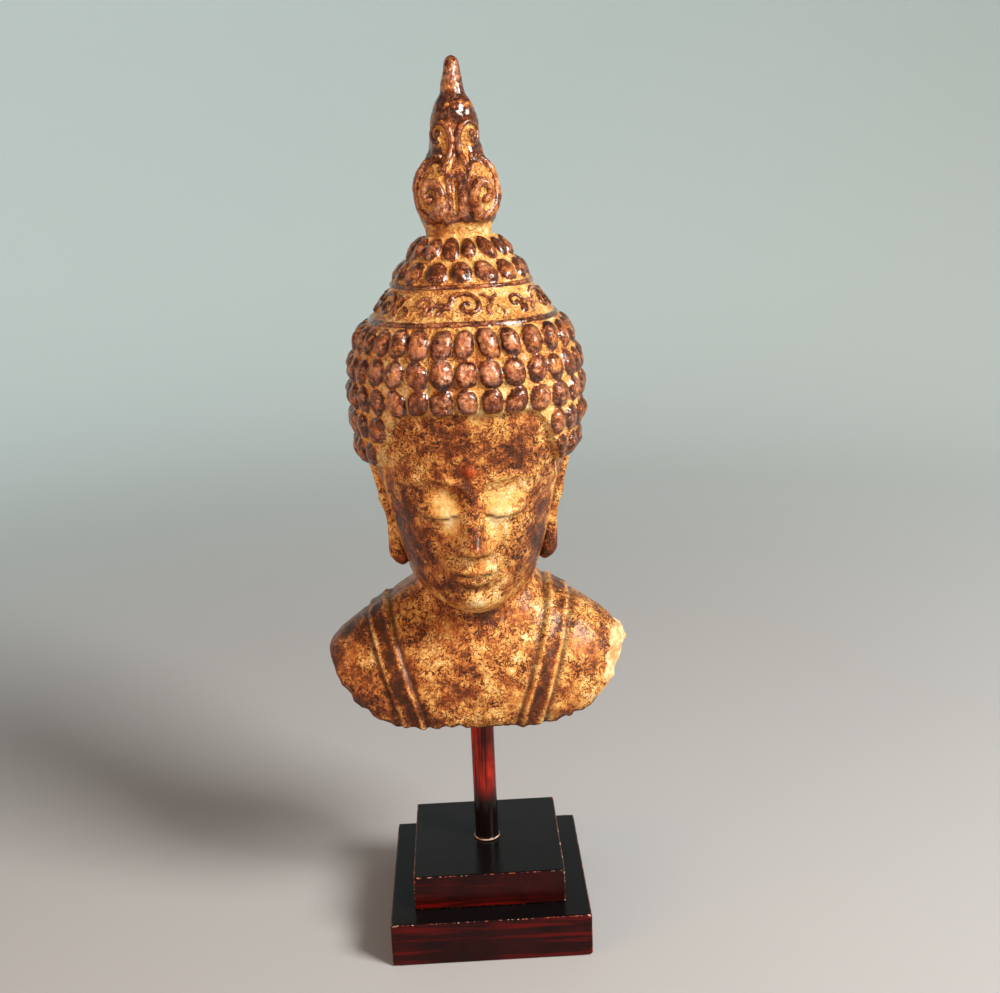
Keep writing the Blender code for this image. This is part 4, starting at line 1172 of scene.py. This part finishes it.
def total(first, *others):
    """The sum of several values."""
    for other in others:
        first = calculate("ADD", first, other)
    return first


def product(first, *others):
    """Several values multiplied."""
    for other in others:
        first = calculate("MULTIPLY", first, other)
    return first


def centred(value, amount):
    """A noise value moved so that it swings round 0, times an amount."""
    return product(calculate("SUBTRACT", value, 0.5), amount)


def ramp(value, low, high):
    """A smooth step from 0 at low to 1 at high."""
    inputs = {"Value": value, "From Min": low, "From Max": high}
    return add_node(value.id_data, "MapRange", inputs, interpolation_type="SMOOTHSTEP").outputs["Result"]


def blend(share, a, b):
    """The value a where share is 0 and b where it is 1."""
    return add_node(share.id_data, "Mix", {0: share, 2: a, 3: b}).outputs[0]


def blend_colour(share, a, b):
    """The colour a where share is 0 and b where it is 1."""
    return add_node(share.id_data, "Mix", {0: share, 6: a, 7: b}, data_type="RGBA").outputs[2]


def colour_ramp(value, stops):
    """A colour for every value, blended between stops: (place, colour)."""
    made = add_node(value.id_data, "ValToRGB", {"Fac": value})
    elements = made.color_ramp.elements
    while len(elements) < len(stops):
        elements.new(0.5)
    for element, (place, colour) in zip(elements, stops):
        element.position = place
        element.color = colour
    return made.outputs["Color"]


def noise(vector, scale, detail=4.0, rough=0.6, distortion=0.0):
    """The value of a noise texture, around 0.5."""
    inputs = {
        "Vector": vector, "Scale": scale, "Detail": detail, "Roughness": rough, "Distortion": distortion,
    }
    return add_node(vector.id_data, "TexNoise", inputs).outputs["Fac"]


def bump(height, strength, distance):
    """Normals that lean as the height rises and falls."""
    inputs = {"Height": height, "Strength": strength, "Distance": distance}
    return add_node(height.id_data, "Bump", inputs).outputs["Normal"]


def attribute(tree, name):
    """The number that the mesh stores under this name."""
    return add_node(tree, "Attribute", {}, attribute_name=name).outputs["Fac"]


def new_material(name):
    """A material with a Principled shader. Returns it, its tree, the shader and the object's coordinates."""
    made = bpy.data.materials.new(name)
    made.use_nodes = True
    where = add_node(made.node_tree, "TexCoord", {}).outputs["Object"]
    return made, made.node_tree, made.node_tree.nodes["Principled BSDF"], where


print("ochre, linear:", [round(v, 3) for v in paint(214, 160, 82)])

# %% [markdown]
# ## Effects that several finishes share
#
# Old paint drifts in colour, and lacquer is rubbed through at edges. Such effects occur in more than one
# material, so each is a node group with named inputs. A group gives back only masks, colours and heights.
# The shader itself stays in the material.

# %% Helpers for groups
def new_group(name, inputs, output, kind):
    """An empty node group with one output. A word instead of a number is the kind of an input's socket."""
    tree = bpy.data.node_groups.new(name, "ShaderNodeTree")
    for label, value in inputs.items():
        own_kind = value if isinstance(value, str) else "Float"
        socket = tree.interface.new_socket(label, in_out="INPUT", socket_type="NodeSocket" + own_kind)
        if own_kind == "Float":
            socket.default_value = value
    tree.interface.new_socket(output, in_out="OUTPUT", socket_type="NodeSocket" + kind)
    return tree, tree.nodes.new("NodeGroupInput").outputs


def close_group(tree, value):
    """Makes a value the group's output."""
    tree.links.new(value, tree.nodes.new("NodeGroupOutput").inputs[0])


def use_group(group, vector, **inputs):
    """Places a group in a material with its own values, and gives back its output."""
    made = vector.id_data.nodes.new("ShaderNodeGroup")
    made.node_tree = group
    fill(made, {"Vector": vector} | {name.capitalize(): value for name, value in inputs.items()})
    return made.outputs[0]


# %% Group: a colour that drifts between two paints
drift, at = new_group(
    "colour drift", {"Vector": "Vector", "Size": 40.0, "First": "Color", "Second": "Color"}, "Colour", "Color"
)
wander = ramp(noise(at["Vector"], at["Size"]), 0.32, 0.68)
close_group(drift, blend_colour(wander, at["First"], at["Second"]))
print(drift.name, "has", len(drift.nodes), "nodes")

# %% Group: wear that follows edges
NIBBLE_DEPTH = 2.2
WEAR_SOFTNESS = 0.12

worn, at = new_group(
    "worn edge", {"Vector": "Vector", "Wear": 0.0, "Size": 300.0, "Amount": 0.5}, "Mask", "Float"
)
nibbled = total(at["Wear"], centred(noise(at["Vector"], at["Size"], 4.0, 0.7), NIBBLE_DEPTH))
needed = calculate("SUBTRACT", 1.5, at["Amount"])
close_group(worn, ramp(nibbled, needed, total(needed, WEAR_SOFTNESS)))
print(worn.name, "has", len(worn.nodes), "nodes")

# %% Group: brushed streaks
streaks, at = new_group(
    "streaks", {"Vector": "Vector", "Stretch": "Vector", "Size": 300.0, "Cover": 0.5, "Softness": 0.08},
    "Mask", "Float",
)
stretched = add_node(streaks, "VectorMath", {0: at["Vector"], 1: at["Stretch"]}, operation="MULTIPLY")
hairs = noise(stretched.outputs[0], at["Size"], 3.0, 0.6)
hairs = total(hairs, calculate("SUBTRACT", at["Cover"], 0.5))
close_group(streaks, ramp(hairs, calculate("SUBTRACT", 0.5, at["Softness"]), total(0.5, at["Softness"])))
print(streaks.name, "has", len(streaks.nodes), "nodes")

# %% Group: small pits and brush marks as height
pits, at = new_group("pits", {"Vector": "Vector", "Size": 500.0, "Depth": 1.0}, "Height", "Float")
bumps = noise(at["Vector"], at["Size"], 4.0, 0.65)
hole_inputs = {"Vector": at["Vector"], "Scale": product(at["Size"], 0.45)}
holes = ramp(add_node(pits, "TexVoronoi", hole_inputs).outputs["Distance"], 0.02, 0.32)
close_group(pits, product(total(product(bumps, 0.7), product(holes, 0.3)), at["Depth"]))
print(pits.name, "has", len(pits.nodes), "nodes")

# %% [markdown]
# ## Gilded stone
#
# The stone was painted dark brown, gilded over with ochre and gold, and rubbed. On the carved hair the tops
# of the beads are bare dark bronze and the grooves are full of ochre. On skin it is the other way: calm gold
# in hollows, and brown in patches and fine lines where hands reach. A few red spots of the first coat show.
# The flake that is lost on the shoulder is pale and dull. Dark paint in creases, beside the straps and round
# the ears is partly dirt and partly painted shade, and gold on the strap and ear ridges is a painted
# highlight.
#
# All of it could be painted by hand onto a picture that wraps the bust. Here one number, the paint level,
# says at each place how much gold is left, and a colour ramp turns it into paint. So colour, gloss and
# relief always agree.

# %% Mix noises of several sizes
gilded, tree, shader, where = new_material("gilded stone")
tops, carved, gold, groove, mark, edge, facet = (attribute(tree, name) for name in MARK_NAMES)

broad = noise(where, 28.0, 5.0, 0.6)
middle = noise(where, 120.0, 5.0, 0.65)
fine = noise(where, 330.0, 3.0, 0.6)
grain = noise(where, 900.0, 4.0, 0.8)
speckle = total(centred(middle, 1.3), centred(grain, 1.25))
spread = total(speckle, centred(broad, 1.1))
skin_spread = total(centred(middle, 1.5), centred(grain, 0.9), centred(broad, 1.1))

crossing = calculate("ABSOLUTE", centred(noise(where, 270.0, 4.0, 0.5, 0.9), 1.0))
web = product(ramp(crossing, 0.05, 0.012), ramp(noise(where, 60.0), 0.30, 0.55))
print("noises: patches of", round(1000 / 28), "mm down to grains of", round(1000 / 900), "mm")

# %% Say how much gold is left
SKIN_LEVEL = 0.52
GROUND_LEVEL = 0.66
TOP_LEVEL = 0.11

calm = calculate("SUBTRACT", 1.0, product(ramp(gold, 0.1, 0.9), 0.6))
skin_level = total(SKIN_LEVEL, product(gold, 0.34), product(skin_spread, calm), product(web, calm, -0.42))
ragged = total(tops, centred(fine, 0.7), centred(grain, 0.45))
ground_level = total(GROUND_LEVEL, product(spread, 0.8), product(web, -0.3))
rubbed = product(ramp(ragged, 0.45, 1.0), 0.2)
top_level = total(TOP_LEVEL, rubbed, product(speckle, 0.75), product(web, 0.14))
carved_level = blend(ramp(ragged, 0.16, 0.38), ground_level, top_level)
paint_level = blend(carved, skin_level, carved_level)
print("paint levels:", SKIN_LEVEL, "on skin,", GROUND_LEVEL, "in grooves,", TOP_LEVEL, "on tops")

# %% Colour the gilded stone
PAINT_STOPS = (
    (0.00, paint(52, 23, 12)), (0.26, paint(102, 45, 20)), (0.40, paint(158, 82, 36)),
    (0.53, paint(198, 130, 64)), (0.72, paint(225, 175, 98)), (0.96, paint(248, 224, 178)),
)
bare = ramp(paint_level, 0.55, 0.25)
copper = total(noise(where, 60.0), product(gold, 0.26), centred(fine, 0.8))
copper = product(ramp(copper, 0.48, 0.72), bare, ramp(ragged, 0.3, 1.0))
coppers = use_group(drift, where, size=300.0, first=paint(168, 82, 52), second=paint(240, 178, 142))
# dark paint in the groove marks: dirt, and painted shade in creases, beside the straps and round the ears
dirt_and_painted_shade = product(groove, ramp(noise(where, 330.0), 0.15, 0.45), 0.9)
red_spots = product(ramp(noise(where, 46.0, 3.0, 0.55), 0.665, 0.72), calculate("SUBTRACT", 1.0, carved), 0.4)
red_spots = calculate("MAXIMUM", red_spots, product(mark, 0.8))
rim = product(use_group(worn, where, wear=edge, size=240.0, amount=0.85), 0.8)
flake = use_group(worn, where, wear=facet, size=150.0, amount=1.0)
broken_stone = use_group(drift, where, size=160.0, first=paint(206, 146, 88), second=paint(240, 218, 168))

colour = colour_ramp(paint_level, PAINT_STOPS)
for share, over in (
    (copper, coppers), (dirt_and_painted_shade, paint(66, 32, 20)), (red_spots, paint(182, 66, 24)),
    (rim, paint(66, 38, 26)), (flake, broken_stone),
):
    colour = blend_colour(share, colour, over)
print("coats of paint:", len(PAINT_STOPS))

# %% Give it gloss and relief
BUMP_STRENGTH = 0.75
PAINT_DEPTH = 0.0006
GLAZE_DEPTH = 0.00007

roughness = total(0.42, product(bare, -0.12), product(flake, 0.35), centred(noise(where, 180.0), 0.3))
polish = product(bare, carved, ramp(fine, 0.34, 0.52))
dents = product(noise(where, 240.0, 3.0), total(0.6, product(carved, 5.0)))
casting_height = total(paint_level, dents, product(fine, carved, 1.2))
height = total(use_group(pits, where, size=420.0, depth=1.0), casting_height)
fill(shader, {
    "Base Color": colour,
    "Roughness": roughness,
    "Metallic": total(product(bare, carved, 0.4), 0.18),
    "Specular IOR Level": 0.35,
    "Specular Tint": (1.0, 0.78, 0.54, 1.0),
    "Coat Weight": total(0.15, product(polish, 0.85)),
    "Coat Roughness": 0.12,
    "Normal": bump(height, BUMP_STRENGTH, PAINT_DEPTH),
    "Coat Normal": bump(casting_height, BUMP_STRENGTH, GLAZE_DEPTH),
})
bust.data.materials.clear()
bust.data.materials.append(gilded)
print(gilded.name, "has", len(tree.nodes), "nodes")

# %% [markdown]
# ## Lacquer
#
# Rod and blocks share one kind of finish: a red coat brushed over black, polished until it is smooth. The rod
# has streaks along its length, the blocks along their sides, and their tops are nearly black. One stretched
# noise could serve for both, but the blocks have their own wear and the rod a pale ring painted at its foot
# as a painted highlight, so each has its own material made from the same groups.

# %% Lacquer of the rod
red_lacquer, tree, shader, where = new_material("red lacquer")
long_streaks = use_group(streaks, where, stretch=(1, 1, 0.035), size=420.0, cover=0.5, softness=0.12)
red = use_group(drift, where, size=60.0, first=paint(128, 16, 8), second=paint(186, 44, 22))
black_share = calculate("MAXIMUM", product(long_streaks, 0.9), attribute(tree, "black"))
# the pale ring on the bead is a painted highlight
ring = use_group(worn, where, wear=attribute(tree, "wear"), size=500.0, amount=0.75)
colour = blend_colour(ring, blend_colour(black_share, red, paint(18, 10, 9)), paint(206, 176, 156))
fill(shader, {"Base Color": colour, "Roughness": 0.16, "Specular IOR Level": 0.2})
rod_mesh.materials.append(red_lacquer)
print(red_lacquer.name, "has", len(tree.nodes), "nodes")

# %% Lacquer of the blocks
dark_lacquer, tree, shader, where = new_material("dark lacquer")
side, wear = attribute(tree, "side"), attribute(tree, "wear")
brushed = use_group(streaks, where, stretch=(0.06, 0.06, 1), size=210.0, cover=0.42, softness=0.10)
maroon = use_group(drift, where, size=45.0, first=paint(30, 8, 7), second=paint(48, 10, 8))
under = use_group(worn, where, wear=wear, size=260.0, amount=0.5)
through = use_group(worn, where, wear=wear, size=420.0, amount=0.38)
colour = paint(15, 12, 13)
for share, over in (
    (side, maroon), (product(brushed, side, 0.7), paint(116, 14, 10)),
    (product(under, 0.8), paint(150, 62, 40)), (through, paint(232, 190, 168)),
):
    colour = blend_colour(share, colour, over)
fill(shader, {
    "Base Color": colour,
    "Roughness": total(0.14, product(noise(where, 60.0), 0.14), product(under, 0.25)),
    "Specular IOR Level": 0.14,
    "Normal": bump(use_group(pits, where, size=260.0, depth=0.5), 0.25, 0.0003),
})
for block in blocks:
    block.data.materials.append(dark_lacquer)
print(dark_lacquer.name, "has", len(tree.nodes), "nodes")

# %% Pale paint of the floor, with painted light: grey near the middle, whiter up the wall
PAINTED_SHADE_NEAR = (0.43, 0.43, 0.44, 1)
PAINTED_LIGHT_FAR = (0.88, 0.99, 1.0, 1)

pale, tree, shader, _ = new_material("pale floor")
colour = blend_colour(attribute(tree, "backdrop_painted_light"), PAINTED_SHADE_NEAR, PAINTED_LIGHT_FAR)
fill(shader, {"Base Color": colour, "Roughness": 0.9})
floor.data.materials.append(pale)
print(pale.name, "has", len(tree.nodes), "nodes")

# %% [markdown]
# ## Put the pieces on the frame
#
# Each piece takes the place of its solid and says which body carries it.

# %% Replace the solids and finish
for piece, node_name, slot in (
    (bust, "bust", "gilded_stone"),
    (rod, "rod", "red_lacquer"),
    (blocks[0], "lower_block", "dark_lacquer"),
    (blocks[1], "upper_block", "dark_lacquer"),
):
    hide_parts(node_name)
    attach(piece, "root")
